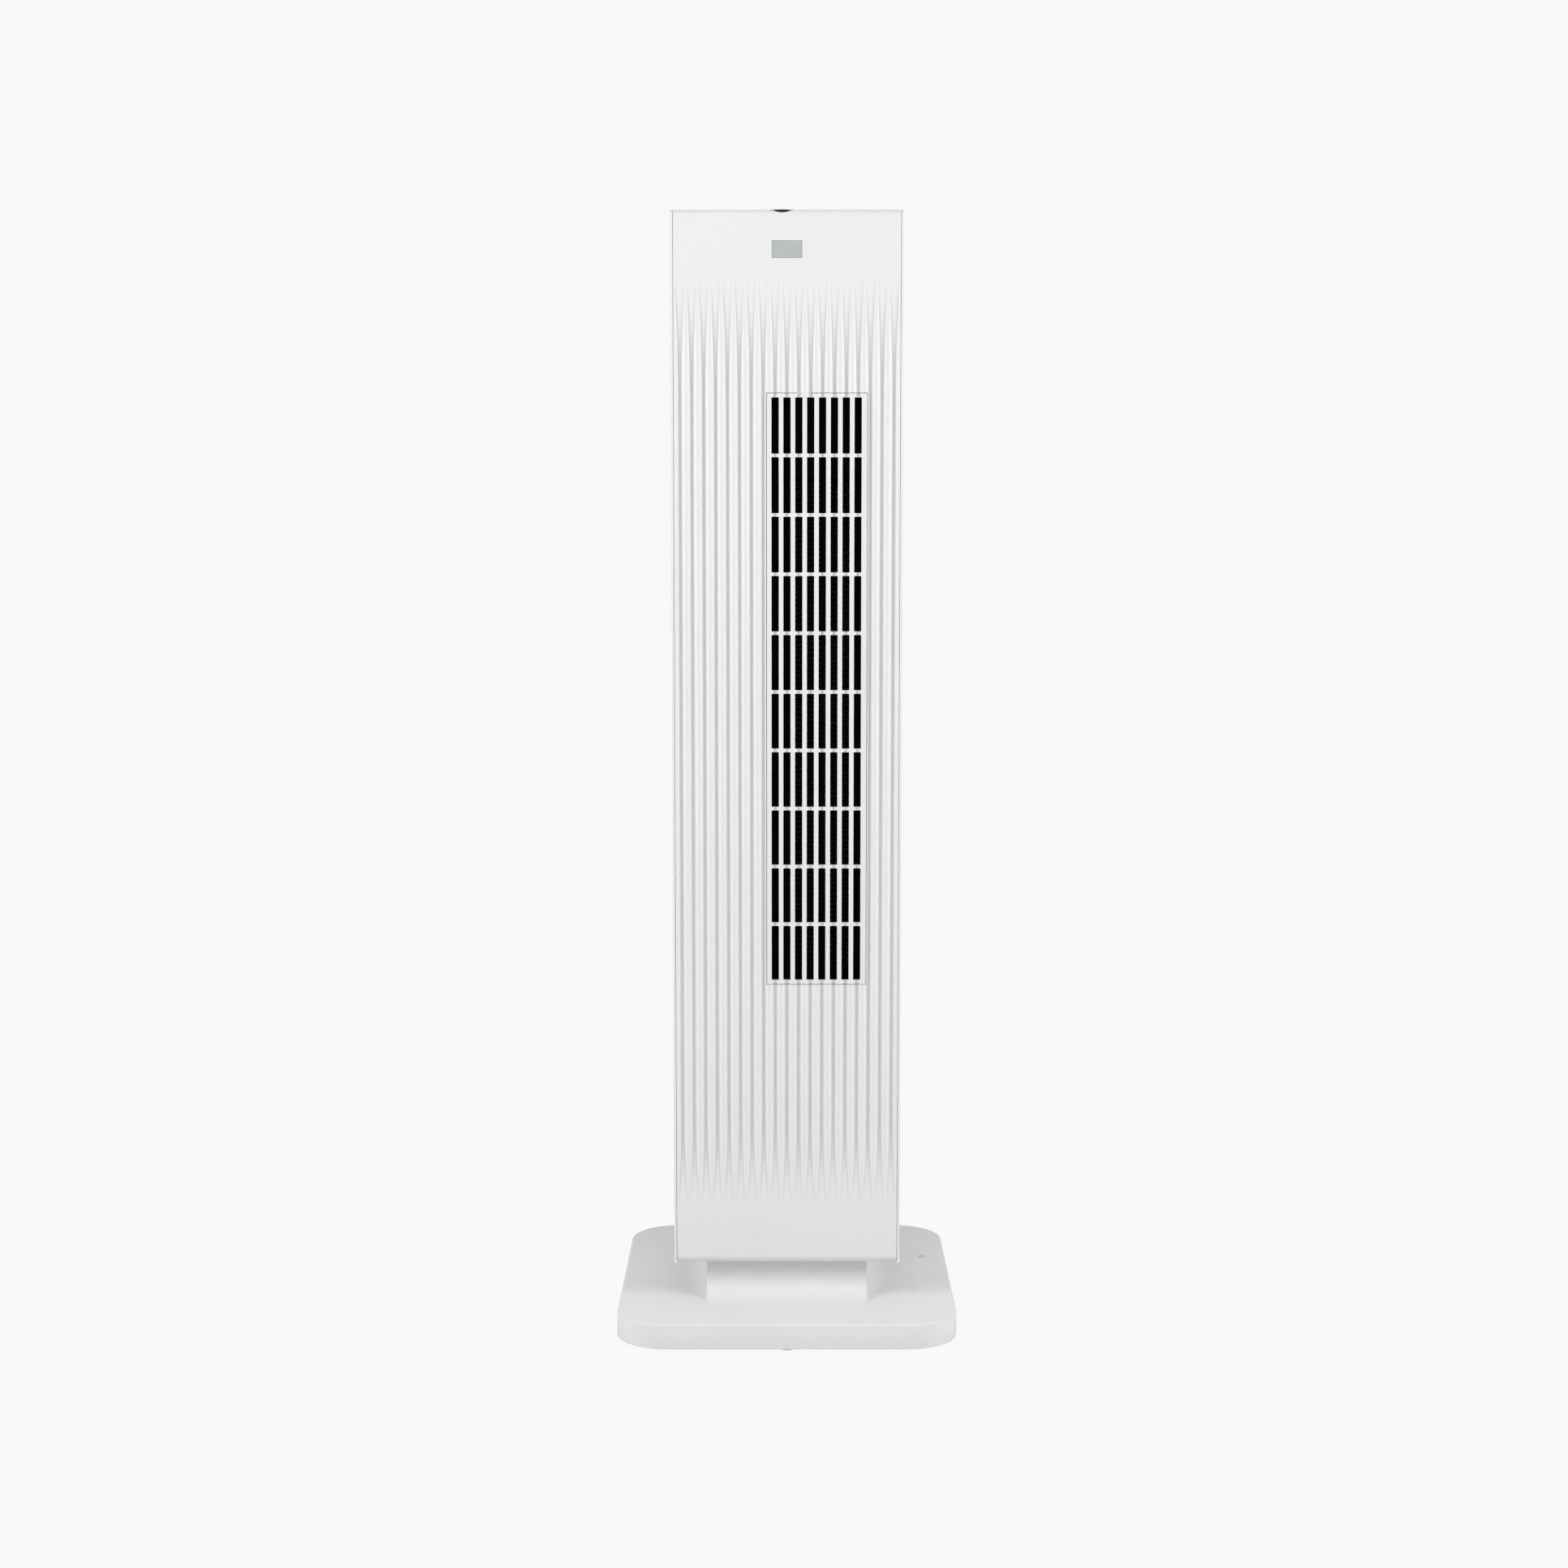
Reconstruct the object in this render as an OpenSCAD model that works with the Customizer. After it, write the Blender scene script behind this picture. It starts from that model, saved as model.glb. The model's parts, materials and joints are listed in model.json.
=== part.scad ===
// Tower fan heater with a ceramic heating core, standing on a flat base with a coved neck.
// Millimetres. X is the width, -Y is the front and Z is up. The origin is on the floor,
// under the middle of the base. The tower turns on the neck about Z.

/* [Tower] */
// Width of the tower
tower_w = 156.5; // [154:0.5:162]
// Depth of the tower
tower_d = 140; // [138:1:150]
// Height of the tower's shell
tower_h = 721.5; // [716:0.5:735]
// Radius of the front panel's bends at its top and bottom
bend_r = 5.5; // [4.5:0.5:6.5]
// Wall thickness of the fluted front
front_t = 4.2; // [4:0.1:4.6]
// Wall thickness of the other shell walls
wall = 2.5; // [2:0.1:3]
// Thickness of a side panel
side_t = 1.6; // [1.4:0.1:2]
// Depth of the rear panel's side walls
rear_depth = 12; // [10:1:14]

/* [Flutes and outlet] */
// Distance between two flutes
flute_pitch = 8; // [7.8:0.1:8.1]
// Width of a flute at the face
flute_w = 4.8; // [4.4:0.1:5]
// Depth of a flute
flute_deep = 2.2; // [1.8:0.1:2.4]
// Number of flutes, an odd number
flute_count = 19; // [17:2:19]
// Width of an outlet slot, less than a flute's
slot_w = 4.6; // [4.2:0.1:4.6]
// Length of an outlet slot
slot_h = 37; // [34:1:38]
// Distance between two rows of outlet slots
slot_pitch = 40; // [39:0.5:40]

/* [Control] */
// Diameter of the power button
button_d = 26.4; // [24:0.2:26.8]
// Travel of the power button
button_travel = 0.8; // [0.5:0.1:1]
// Width of the display window
window_w = 20.2; // [18:0.1:24]
// Height of the display window
window_h = 11.4; // [10:0.2:14]

/* [Base] */
// Width of the base
base_w = 234; // [230:1:250]
// Depth of the base
base_d = 250; // [246:1:260]
// Radius of the base's corners in plan
base_r = 36; // [30:1:40]
// Height of the base's top face above the floor
base_top = 20; // [20:0.5:22]
// Height of the rubber feet
foot_h = 2.5; // [2:0.1:2.6]
// Height of the neck above the base's top face
neck_h = 26; // [25:0.5:28]

/* [Swing drive] */
// Teeth on the fixed ring gear
ring_teeth = 48; // [48:1:48]
// Teeth on the swing pinion
pinion_teeth = 16; // [16:1:16]
// Gear module
gear_module = 1; // [1:0.1:1]

/* [Hidden] */
$fn = 64;

// Overlap that keeps a cut clear of a face, and the gaps between fitted pieces
cut = 1;
seam = 0.1;
run_gap = 0.05;

white = [0.92, 0.92, 0.91];
black = [0.06, 0.06, 0.07];
steel = [0.72, 0.73, 0.75];
alloy = [0.80, 0.81, 0.83];
nylon = [0.88, 0.86, 0.80];
board_green = [0.10, 0.36, 0.20];
amber = [0.86, 0.62, 0.30];

// Heights of the stack from the floor to the tower
neck_top = base_top + neck_h;
ring_proud = 0.6;
tower_z = neck_top + ring_proud;
tower_top = tower_z + tower_h;
floor_z = tower_z + wall;
table_t = 3;
table_z = floor_z + table_t;

// Planes of the tower
front_y = -tower_d / 2;
back_y = tower_d / 2;
rear_seam_y = back_y - rear_depth;
inner_w = tower_w - 2 * side_t;

// Flutes: an arc in section, with a floor that rises to the face at each end
flute_arc_r = (pow(flute_w / 2, 2) + pow(flute_deep, 2)) / (2 * flute_deep);
flute_axis_y = front_y + flute_deep - flute_arc_r;
flute_z = [tower_z + 44, tower_z + 101, tower_z + 609, tower_z + 672];

// Outlet insert: slots sit in eight of the flutes
slot_columns = 8;
slot_rows = 10;
slot_first_x = -flute_pitch;
insert_mid_x = slot_first_x + flute_pitch * (slot_columns - 1) / 2 + 0.25;
insert_mid_z = tower_z + 398.3;
insert_w = slot_columns * flute_pitch + flute_w / 2 + 2;
insert_h = slot_rows * slot_pitch + 3.7;
insert_gap = 0.3;
flange_t = 1.5;

// Button and window
button_x = -3.3;
button_y = front_y + 14.8;
button_recess = button_d / 2 + 0.3;
button_z = tower_top;
stem_d = 6;
window_z = tower_z + 695.2;

// Base
base_z = foot_h;
base_wall = 3;
plate_t = 2.5;
plate_z = base_z + plate_t;
base_ceiling = base_top - 2.8;
edge_r = 1.6;
foot_spots = [[88, 98], [-88, 98], [88, -98], [-88, -98], [0, 108.8], [0, -108.8]];
screw_spots = [[103, 60], [-103, 60], [103, -60], [-103, -60], [0, 92], [0, -92]];
ballast = [160, 166, 6];
ballast_hole = 70;
ballast_spots = [[70, 70], [-70, 70], [70, -70], [-70, -70]];
gland_z = 11;
gland_bore = 7.4;
lamp_spot = [100, 38];
lamp_d = 5;
plunger_spot = [-95, 20];
plunger_d = 6;

// Neck: a quarter round in front and behind, and upright sides with a low flare at the foot
neck_half = [56, 53];
neck_foot = [75, neck_half[1] + neck_h];
flare_x = 105;
flare_h = 8;
flare_w = 19.6;
neck_wall = 4;
skirt_t = 1.4;
skirt_h = 5;
deck_t = 4;

// Swivel
post_d = 30;
post_bore = 24;
slide_r = [22, 32];
slide_t = 2;
washer_t = 1;
gear_h = 6;
gear_z = table_z + washer_t;
clip_t = 1;
clip_z = gear_z + gear_h + 0.2;
post_top = clip_z + clip_t + 2;
pinion_reach = gear_module * (ring_teeth + pinion_teeth) / 2;
pinion_side = 90;
swing_body_y = pinion_reach + 10;
swing_z = gear_z + gear_h + 2;
swing_ear_x = 21;
swing_d = 35;

// Blower
wheel_at = [0, 22];
wheel_r = 31;
wheel_z = tower_z + 199.4;
wheel_h = 398;
wheel_top = wheel_z + wheel_h;
blade_count = 32;
shaft_d = 6;
cross_t = 3;
cross_z = wheel_z - 8;
damper_h = 6;
motor_d = 66;
motor_h = 42;
motor_z = cross_z - damper_h - 3 - motor_h;
motor_hole_r = 26;
pin_d = 4;
duct_x = [-12.4, 52.4];
duct_front_y = front_y + front_t + flange_t + 0.3;
housing_z = wheel_z - 5;
housing_top = wheel_top + 5;

// Heating core
core_y = [front_y + 21, front_y + 34];
core_z = [tower_z + 205, tower_z + 545];
bar_x = [0.7, 25, 49.3];
bar_w = 3.4;
fin_pitch = 3.6;
fin_sheet = 0.3;
fin_gap = 0.6;
lip_t = 1.6;

// Rear face
inlet_w = 90;
inlet_h = 430;
inlet_z = insert_mid_z;
louvre_count = 36;
louvre_pitch = 11.5;
louvre_h = 6;
cover_t = 3;
filter_t = 3;
ledge = 4;
handle_w = 104;
handle_h = 34;
handle_z = tower_z + 655;
handle_deep = 28;
rocker_x = 48;
rocker_z = tower_z + 50;
rocker_w = 13;
rocker_h = 19;
rocker_r = 9.5;
rear_spots = [[66, 30], [-66, 30], [66, 360], [-66, 360], [66, 700], [-66, 700]];

// Helpers

module at_each(spots, z = 0) {
    for (p = spots) translate([p[0], p[1], z]) children();
}

module block(low, high) {
    translate(low) cube(high - low);
}

// Slab with round corners in plan and a rounded top edge
module slab(w, d, r, h, f) {
    for (turn = [0, 1]) {
        long = turn == 0 ? w : d;
        short = (turn == 0 ? d : w) - 2 * r;
        rotate([0, 0, 90 * turn]) translate([0, short / 2, 0]) rotate([90, 0, 0])
            linear_extrude(short) {
                translate([-long / 2, 0]) square([long, h - f]);
                translate([-long / 2 + f, 0]) square([long - 2 * f, h]);
                translate([-long / 2 + f, h - f]) circle(f);
                translate([long / 2 - f, h - f]) circle(f);
            }
    }
    for (sx = [-1, 1], sy = [-1, 1])
        translate([sx * (w / 2 - r), sy * (d / 2 - r), 0]) rotate_extrude() {
            square([r, h - f]);
            square([r - f, h]);
            intersection() {
                translate([r - f, h - f]) circle(f);
                square([r, h]);
            }
        }
}

// Plain slab with round corners in plan
module flat_slab(w, d, r, h) {
    block([-w / 2, -d / 2 + r, 0], [w / 2, d / 2 - r, h]);
    block([-w / 2 + r, -d / 2, 0], [w / 2 - r, d / 2, h]);
    for (sx = [-1, 1], sy = [-1, 1])
        translate([sx * (w / 2 - r), sy * (d / 2 - r), 0]) cylinder(h = h, r = r);
}

// Pan-head screw that points up, with its head's underside at z = 0
module screw(shank_d, shank_h, head_d, head_h) {
    translate([0, 0, -head_h]) cylinder(h = head_h, d = head_d);
    cylinder(h = shank_h, d = shank_d);
    translate([0, 0, -head_h]) children();
}

// Extrudes a drawing in (y, z) along x, from x0 to x1
module along_x(x0, x1) {
    translate([x0, 0, 0]) rotate([90, 0, 90]) linear_extrude(x1 - x0) children();
}

// Extrudes a drawing in (x, z) along y, from y0 to y1
module along_y(y0, y1) {
    translate([0, y1, 0]) rotate([90, 0, 0]) linear_extrude(y1 - y0) children();
}

// Side view of the shell: rounded in front, square where it meets the rear panel
module bent_profile(y0, y1, z0, z1, r_low, r_high) {
    difference() {
        translate([y0, z0]) square([y1 - y0, z1 - z0]);
        translate([y0 - cut, z1 - r_high]) square([r_high + cut, r_high + cut]);
        if (r_low > 0) translate([y0 - cut, z0 - cut]) square([r_low + cut, r_low + cut]);
    }
    translate([y0 + r_high, z1 - r_high]) circle(r_high);
    if (r_low > 0) translate([y0 + r_low, z0 + r_low]) circle(r_low);
}

// Involute gear outline, with one tooth centred on the +x axis
function involute(a) = tan(a) - a * PI / 180;
function flank_angle(teeth, r, slack) =
    let (base = gear_module * teeth / 2 * cos(20))
    90 / teeth - slack * 180 / (PI * gear_module * teeth)
        + (involute(20) - involute(acos(min(1, base / r)))) * 180 / PI;
function gear_points(teeth, slack) = [
    for (tooth = [0:teeth - 1], side = [-1, 1], step = [0:4])
        let (
            pitch_r = gear_module * teeth / 2,
            root_r = pitch_r - 1.25 * gear_module,
            tip_r = pitch_r + gear_module,
            part = side < 0 ? step : 4 - step,
            r = root_r + (tip_r - root_r) * part / 4,
            a = tooth * 360 / teeth + side * flank_angle(teeth, r, slack)
        )
        [r * cos(a), r * sin(a)]
];

module gear(teeth, h) {
    linear_extrude(h) polygon(gear_points(teeth, 0.12));
}

// Base

// Half section of a side's flare, turned about a far axis
flare_section = concat(
    [[0, base_top], [0, base_top + flare_h]],
    [for (a = [0:10:90])
        [flare_x + neck_foot[0] - flare_w * cos(a), base_top + flare_h * (1 - sin(a))]]
);

module neck_bar(half_x) {
    along_x(-half_x, half_x) difference() {
        translate([-neck_foot[1], base_top]) square([2 * neck_foot[1], neck_h]);
        for (s = [-1, 1]) translate([s * neck_foot[1], neck_top]) circle(neck_h);
    }
}

module neck_solid() {
    neck_bar(neck_half[0]);
    intersection() {
        neck_bar(neck_foot[0] + 1);
        translate([flare_x, 0, 0]) rotate_extrude($fn = 240) polygon(flare_section);
        translate([-flare_x, 0, 0]) rotate_extrude($fn = 240) polygon(flare_section);
    }
}

// Shaft a given distance inside the neck's walls
module neck_shaft(inset, z0, z1) {
    half = neck_half - [inset, inset];
    block([-half[0], -half[1], z0], [half[0], half[1], z1]);
}

module base_cover() {
    color(white) difference() {
        union() {
            difference() {
                translate([0, 0, base_z])
                    slab(base_w, base_d, base_r, base_top - base_z, edge_r);
                translate([0, 0, base_z - cut])
                    flat_slab(base_w - 2 * base_wall, base_d - 2 * base_wall,
                        base_r - base_wall, base_ceiling - base_z + cut);
            }
            at_each(screw_spots, plate_z) cylinder(h = base_ceiling - plate_z + cut, d = 8);
        }
        neck_shaft(neck_wall - skirt_t - seam, base_ceiling - cut, base_top + cut);
        at_each(screw_spots, plate_z - cut) cylinder(h = 10, d = 3);
        translate([0, base_d / 2 + cut, gland_z]) rotate([90, 0, 0])
            cylinder(h = base_wall + 2 * cut, d = 10.6);
        at_each([lamp_spot], base_ceiling - cut) cylinder(h = 6, d = lamp_d + 0.1);
    }
}

// The neck stands on the base's top and snaps in with a skirt; its deck carries the swivel
module neck_cover() {
    color(white) difference() {
        union() {
            neck_solid();
            neck_shaft(neck_wall - skirt_t, base_top - skirt_h, base_top + cut);
            for (s = [-1, 1], x = [-26, 26])
                block([x - 6, min(s * 46, s * (neck_half[1] - 1)), base_top - skirt_h],
                    [x + 6, max(s * 46, s * (neck_half[1] - 1)), base_ceiling - seam]);
        }
        neck_shaft(neck_wall, base_top - skirt_h - cut, neck_top - deck_t);
        translate([0, 0, neck_top - deck_t - cut]) cylinder(h = deck_t + 2 * cut, d = post_d + 0.2);
        translate([0, 0, neck_top - slide_t + ring_proud]) difference() {
            cylinder(h = slide_t, r = slide_r[1] + seam);
            translate([0, 0, -cut]) cylinder(h = slide_t + 2 * cut, r = slide_r[0] - seam);
        }
        for (a = [0:90:270]) rotate([0, 0, a + 45])
            translate([18.5, 0, neck_top - deck_t - cut]) cylinder(h = cut + 2.4, d = 2.6);
    }
}

module base_plate() {
    color(black) difference() {
        translate([0, 0, base_z]) flat_slab(base_w - 2 * base_wall - 0.4,
            base_d - 2 * base_wall - 0.4, base_r - base_wall - 0.2, plate_t);
        at_each(screw_spots, base_z - cut) cylinder(h = plate_t + 2 * cut, d = 3.3);
        at_each(screw_spots, base_z - cut) cylinder(h = 1.5 + cut, d = 6.8);
        at_each(foot_spots, base_z - cut) cylinder(h = plate_t + 2 * cut, d = 6.1);
        at_each(ballast_spots, base_z - cut) cylinder(h = plate_t + 2 * cut, d = 4);
        at_each([plunger_spot], base_z - cut)
            cylinder(h = plate_t + 2 * cut, d = plunger_d + 2 * run_gap);
        for (x = [-24:8:24], y = [-30, 0, 30])
            block([x - 1.5, y - 9, base_z - cut], [x + 1.5, y + 9, plate_z + cut]);
    }
}

module counterweight() {
    color(steel) difference() {
        translate([0, 0, plate_z]) flat_slab(ballast[0], ballast[1], 12, ballast[2]);
        translate([0, 0, plate_z - cut]) cylinder(h = ballast[2] + 2 * cut, d = ballast_hole);
        at_each(ballast_spots, plate_z - cut) cylinder(h = ballast[2] + 2 * cut, d = 4.4);
    }
}

module ballast_screws() {
    color(steel) at_each(ballast_spots, plate_z + ballast[2]) mirror([0, 0, 1])
        screw(3.9, ballast[2] + plate_t - 0.3, 7.5, 2.2);
}

module rubber_feet() {
    color(black) at_each(foot_spots) difference() {
        union() {
            cylinder(h = foot_h, d = 18);
            cylinder(h = foot_h + plate_t, d = 6);
        }
        translate([0, 0, -cut]) cylinder(h = cut + 1, d = 5);
    }
}

module base_screws() {
    color(steel) at_each(screw_spots, base_z + 1.5) difference() {
        screw(2.9, 9, 6.4, 1.4);
        for (a = [0, 90]) rotate([0, 0, a]) block([-1.8, -0.4, -2], [1.8, 0.4, -0.8]);
    }
}

module cord_gland() {
    color(black) translate([0, base_d / 2, gland_z]) rotate([90, 0, 0]) difference() {
        union() {
            cylinder(h = 16, d = 10.5);
            translate([0, 0, base_wall + seam]) cylinder(h = 2.4, d = 11.8);
        }
        translate([0, 0, -cut]) cylinder(h = 16 + 2 * cut, d = gland_bore);
    }
}

module indicator_lens() {
    color(nylon) at_each([lamp_spot], base_ceiling - 1.2) {
        cylinder(h = base_top - base_ceiling + 1.5, d = lamp_d);
        cylinder(h = 1.2, d = lamp_d + 2.4);
    }
}

module indicator_board() {
    color(board_green) translate([lamp_spot[0], lamp_spot[1], plate_z + 4]) {
        block([-6, -8, 0], [6, 8, 1.2]);
        cylinder(h = 5.6, d = 3);
        for (y = [-6, 6]) translate([0, y, -4]) cylinder(h = 4, d = 2.6);
    }
}

module tip_switch() {
    color(black) translate([plunger_spot[0], plunger_spot[1], 0]) difference() {
        block([-5, -14, plate_z + 4.6], [5, 14, base_ceiling - 0.2]);
        for (y = [-9, 9]) translate([-5 - cut, y, plate_z + 8]) rotate([0, 90, 0])
            cylinder(h = 10 + 2 * cut, d = 2.6);
    }
    color(black) translate([plunger_spot[0], plunger_spot[1], plate_z])
        for (y = [-9, 9]) block([-5, y - 3, 0], [5, y + 3, 4.6]);
}

module tip_plunger() {
    color(amber) at_each([plunger_spot]) {
        cylinder(h = 2, d = 11);
        cylinder(h = plate_z + 4, d = plunger_d);
        translate([0, 0, plate_z + 3]) cylinder(h = 1, d = 8.4);
    }
}

// Swivel

module swivel_post() {
    color(nylon) difference() {
        union() {
            translate([0, 0, neck_top - deck_t - 3]) cylinder(h = 3, d = 48);
            translate([0, 0, neck_top - deck_t - 3])
                cylinder(h = post_top - neck_top + deck_t + 3, d = post_d);
        }
        translate([0, 0, neck_top - deck_t - 3 - cut])
            cylinder(h = post_top - neck_top + deck_t + 3 + 2 * cut, d = post_bore);
        translate([0, 0, clip_z - 0.1]) difference() {
            cylinder(h = clip_t + 0.2, d = post_d + cut);
            translate([0, 0, -cut]) cylinder(h = clip_t + 2 * cut, d = post_d - 2);
        }
        for (a = [0:90:270]) rotate([0, 0, a + 45])
            translate([18.5, 0, neck_top - deck_t - 3 - cut]) cylinder(h = 3 + 2 * cut, d = 3.2);
    }
}

module post_screws() {
    color(steel) for (a = [0:90:270]) rotate([0, 0, a + 45])
        translate([18.5, 0, neck_top - deck_t - 3]) screw(2.5, 5, 5.6, 1.8);
}

module slide_ring() {
    color(nylon) translate([0, 0, neck_top + ring_proud - slide_t]) difference() {
        cylinder(h = slide_t, r = slide_r[1]);
        translate([0, 0, -cut]) cylinder(h = slide_t + 2 * cut, r = slide_r[0]);
    }
}

module ring_gear() {
    color(nylon) translate([0, 0, gear_z]) difference() {
        rotate([0, 0, pinion_side]) gear(ring_teeth, gear_h);
        translate([0, 0, -cut]) cylinder(h = gear_h + 2 * cut, d = post_d + 0.1);
    }
}

module retaining_ring() {
    color(steel) translate([0, 0, clip_z]) difference() {
        cylinder(h = clip_t, d = post_d + 6);
        translate([0, 0, -cut]) cylinder(h = clip_t + 2 * cut, d = post_d - 1.8);
        block([-4, -post_d, -cut], [4, 0, clip_t + cut]);
    }
}

module thrust_washer() {
    color(amber) translate([0, 0, table_z]) difference() {
        cylinder(h = washer_t - run_gap, d = 44);
        translate([0, 0, -cut]) cylinder(h = washer_t + 2 * cut, d = post_d + 0.4);
    }
}

module turntable() {
    color(black) difference() {
        union() {
            translate([0, -3, floor_z]) flat_slab(inner_w - 6, 118, 8, table_t);
            translate([0, 0, tower_z]) cylinder(h = wall + cut, d = 68);
            for (s = [-1, 1]) translate([s * swing_ear_x, swing_body_y, table_z - cut])
                cylinder(h = swing_z - table_z + cut, d = 8);
        }
        translate([0, 0, tower_z - cut])
            cylinder(h = wall + table_t + 2 * cut, d = post_d + 2 * run_gap);
        for (s = [-1, 1]) translate([s * swing_ear_x, swing_body_y, table_z + 2])
            cylinder(h = swing_z, d = 3);
        for (sx = [-1, 1], sy = [-50, 42])
            translate([sx * 60, sy, floor_z - cut]) cylinder(h = table_t + 2 * cut, d = 3.4);
    }
}

module turntable_screws() {
    color(steel) for (sx = [-1, 1], sy = [-50, 42])
        translate([sx * 60, sy, table_z]) mirror([0, 0, 1]) screw(3.2, table_t + 1.6, 6.4, 2);
}

module swing_motor() {
    color(steel) difference() {
        union() {
            translate([0, swing_body_y, swing_z]) cylinder(h = 15, d = swing_d);
            difference() {
                block([-swing_ear_x - 4, swing_body_y - 5, swing_z],
                    [swing_ear_x + 4, swing_body_y + 5, swing_z + 1.2]);
                for (s = [-1, 1]) translate([s * swing_ear_x, swing_body_y, swing_z - cut])
                    cylinder(h = 4, d = 3.4);
            }
            block([-8, swing_body_y + 12, swing_z + 2], [8, swing_body_y + 21, swing_z + 12]);
        }
        translate([0, pinion_reach, swing_z - cut]) cylinder(h = 9, d = 5 + 2 * run_gap);
    }
}

module motor_ear_screws() {
    color(steel) for (s = [-1, 1]) translate([s * swing_ear_x, swing_body_y, swing_z + 1.2])
        mirror([0, 0, 1]) screw(2.9, 8, 6, 2);
}

module swing_pinion() {
    color(nylon) translate([0, pinion_reach, 0]) {
        translate([0, 0, gear_z + 0.4]) rotate([0, 0, pinion_side + 180 + 180 / pinion_teeth])
            gear(pinion_teeth, gear_h - 0.8);
        translate([0, 0, gear_z + 0.4]) cylinder(h = swing_z - gear_z + 6, d = 5);
    }
}

// Tower shell

module flute_cutter() {
    intersection() {
        for (i = [0:flute_count - 1])
            translate([(i - (flute_count - 1) / 2) * flute_pitch, flute_axis_y, flute_z[0] - cut])
                cylinder(h = flute_z[3] - flute_z[0] + 2 * cut, r = flute_arc_r);
        along_x(-tower_w / 2, tower_w / 2) polygon([
            [front_y - 5, flute_z[0]],
            [front_y, flute_z[0]],
            [front_y + flute_deep + seam, flute_z[1]],
            [front_y + flute_deep + seam, flute_z[2]],
            [front_y, flute_z[3]],
            [front_y - 5, flute_z[3]]
        ]);
    }
}

module front_panel() {
    half = inner_w / 2 - seam;
    color(white) difference() {
        union() {
            difference() {
                along_x(-half, half)
                    bent_profile(front_y, rear_seam_y - seam, tower_z, tower_top, bend_r, bend_r);
                along_x(-half - cut, half + cut)
                    bent_profile(front_y + front_t, back_y, floor_z, tower_top - wall, 2.4, 2.4);
                flute_cutter();
            }
            for (sx = [-1, 1], sy = [-50, 42])
                translate([sx * 60, sy, floor_z - wall]) cylinder(h = wall, d = 8);
        }
        block([insert_mid_x - insert_w / 2, front_y - cut, insert_mid_z - insert_h / 2],
            [insert_mid_x + insert_w / 2, front_y + front_t + cut, insert_mid_z + insert_h / 2]);
        block([-window_w / 2, front_y - cut, window_z - window_h / 2],
            [window_w / 2, front_y + front_t + cut, window_z + window_h / 2]);
        translate([button_x, button_y, tower_top - 7]) cylinder(h = 8, r = button_recess);
        translate([0, 0, tower_z - cut]) cylinder(h = wall + 2 * cut, d = 69);
        for (sx = [-1, 1], sy = [-50, 42])
            translate([sx * 60, sy, tower_z + 0.8]) cylinder(h = wall, d = 3.2);
    }
}

module side_panel(side) {
    outer = side * tower_w / 2;
    inner = side * (tower_w / 2 - side_t);
    deep = side * (tower_w / 2 - side_t - 2);
    color(white) {
        along_x(min(outer, inner), max(outer, inner))
            bent_profile(front_y, rear_seam_y - seam, tower_z, tower_top, 0, bend_r);
        for (z = [tower_z + 60:150:tower_top - 40], y = [front_y + 20, rear_seam_y - 16])
            block([min(inner, deep), y, z], [max(inner, deep), y + 10, z + 4]);
    }
}

module left_side_panel() {
    side_panel(-1);
}

module right_side_panel() {
    side_panel(1);
}

// Plan of the rear panel: round at its two outer corners
module rear_plan(w, y_back, r) {
    translate([-w / 2 + r, rear_seam_y]) square([w - 2 * r, y_back - rear_seam_y]);
    translate([-w / 2, rear_seam_y]) square([w, max(y_back - rear_seam_y - r, 0.01)]);
    for (s = [-1, 1]) intersection() {
        translate([s * (w / 2 - r), y_back - r]) circle(r);
        translate([-w / 2, rear_seam_y]) square([w, rear_depth]);
    }
}

module rear_panel() {
    corner = rear_depth - 1;
    color(white) difference() {
        union() {
            difference() {
                intersection() {
                    translate([0, 0, tower_z]) linear_extrude(tower_h)
                        rear_plan(tower_w, back_y, corner);
                    along_x(-tower_w / 2, tower_w / 2) mirror([1, 0])
                        bent_profile(-back_y, 0, tower_z, tower_top, bend_r, bend_r);
                }
                translate([0, 0, floor_z]) linear_extrude(tower_h - 2 * wall)
                    rear_plan(tower_w - 2 * wall, back_y - wall, corner - wall);
            }
            at_rear_screws() cylinder(h = 12, d = 8);
            block([-inlet_w / 2 - 3, rear_seam_y + 1, inlet_z - inlet_h / 2 - 3],
                [inlet_w / 2 + 3, back_y - 1, inlet_z + inlet_h / 2 + 3]);
        }
        block([-inlet_w / 2, rear_seam_y + 4, inlet_z - inlet_h / 2],
            [inlet_w / 2, back_y + cut, inlet_z + inlet_h / 2]);
        block([-inlet_w / 2 + ledge, rear_seam_y, inlet_z - inlet_h / 2 + ledge],
            [inlet_w / 2 - ledge, back_y, inlet_z + inlet_h / 2 - ledge]);
        block([-handle_w / 2, rear_seam_y, handle_z - handle_h / 2],
            [handle_w / 2, back_y + cut, handle_z + handle_h / 2]);
        block([rocker_x - rocker_w / 2 - 1.6, rear_seam_y, rocker_z - rocker_h / 2 - 1.6],
            [rocker_x + rocker_w / 2 + 1.6, back_y + cut, rocker_z + rocker_h / 2 + 1.6]);
        at_rear_screws() translate([0, 0, -cut]) cylinder(h = 20, d = 3.4);
        at_rear_screws() translate([0, 0, -cut]) cylinder(h = cut + 3, d = 6.6);
    }
}

// Screws of the rear panel point forwards, from a pocket in its back face
module at_rear_screws() {
    for (p = rear_spots) translate([p[0], back_y - 0.01, tower_z + p[1]])
        rotate([90, 0, 0]) children();
}

module rear_screws() {
    color(steel) at_rear_screws() translate([0, 0, 3]) difference() {
        screw(3.2, 15, 6.2, 2.2);
        for (a = [0, 90]) rotate([0, 0, a]) block([-1.8, -0.4, -3], [1.8, 0.4, -1.2]);
    }
}

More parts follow.
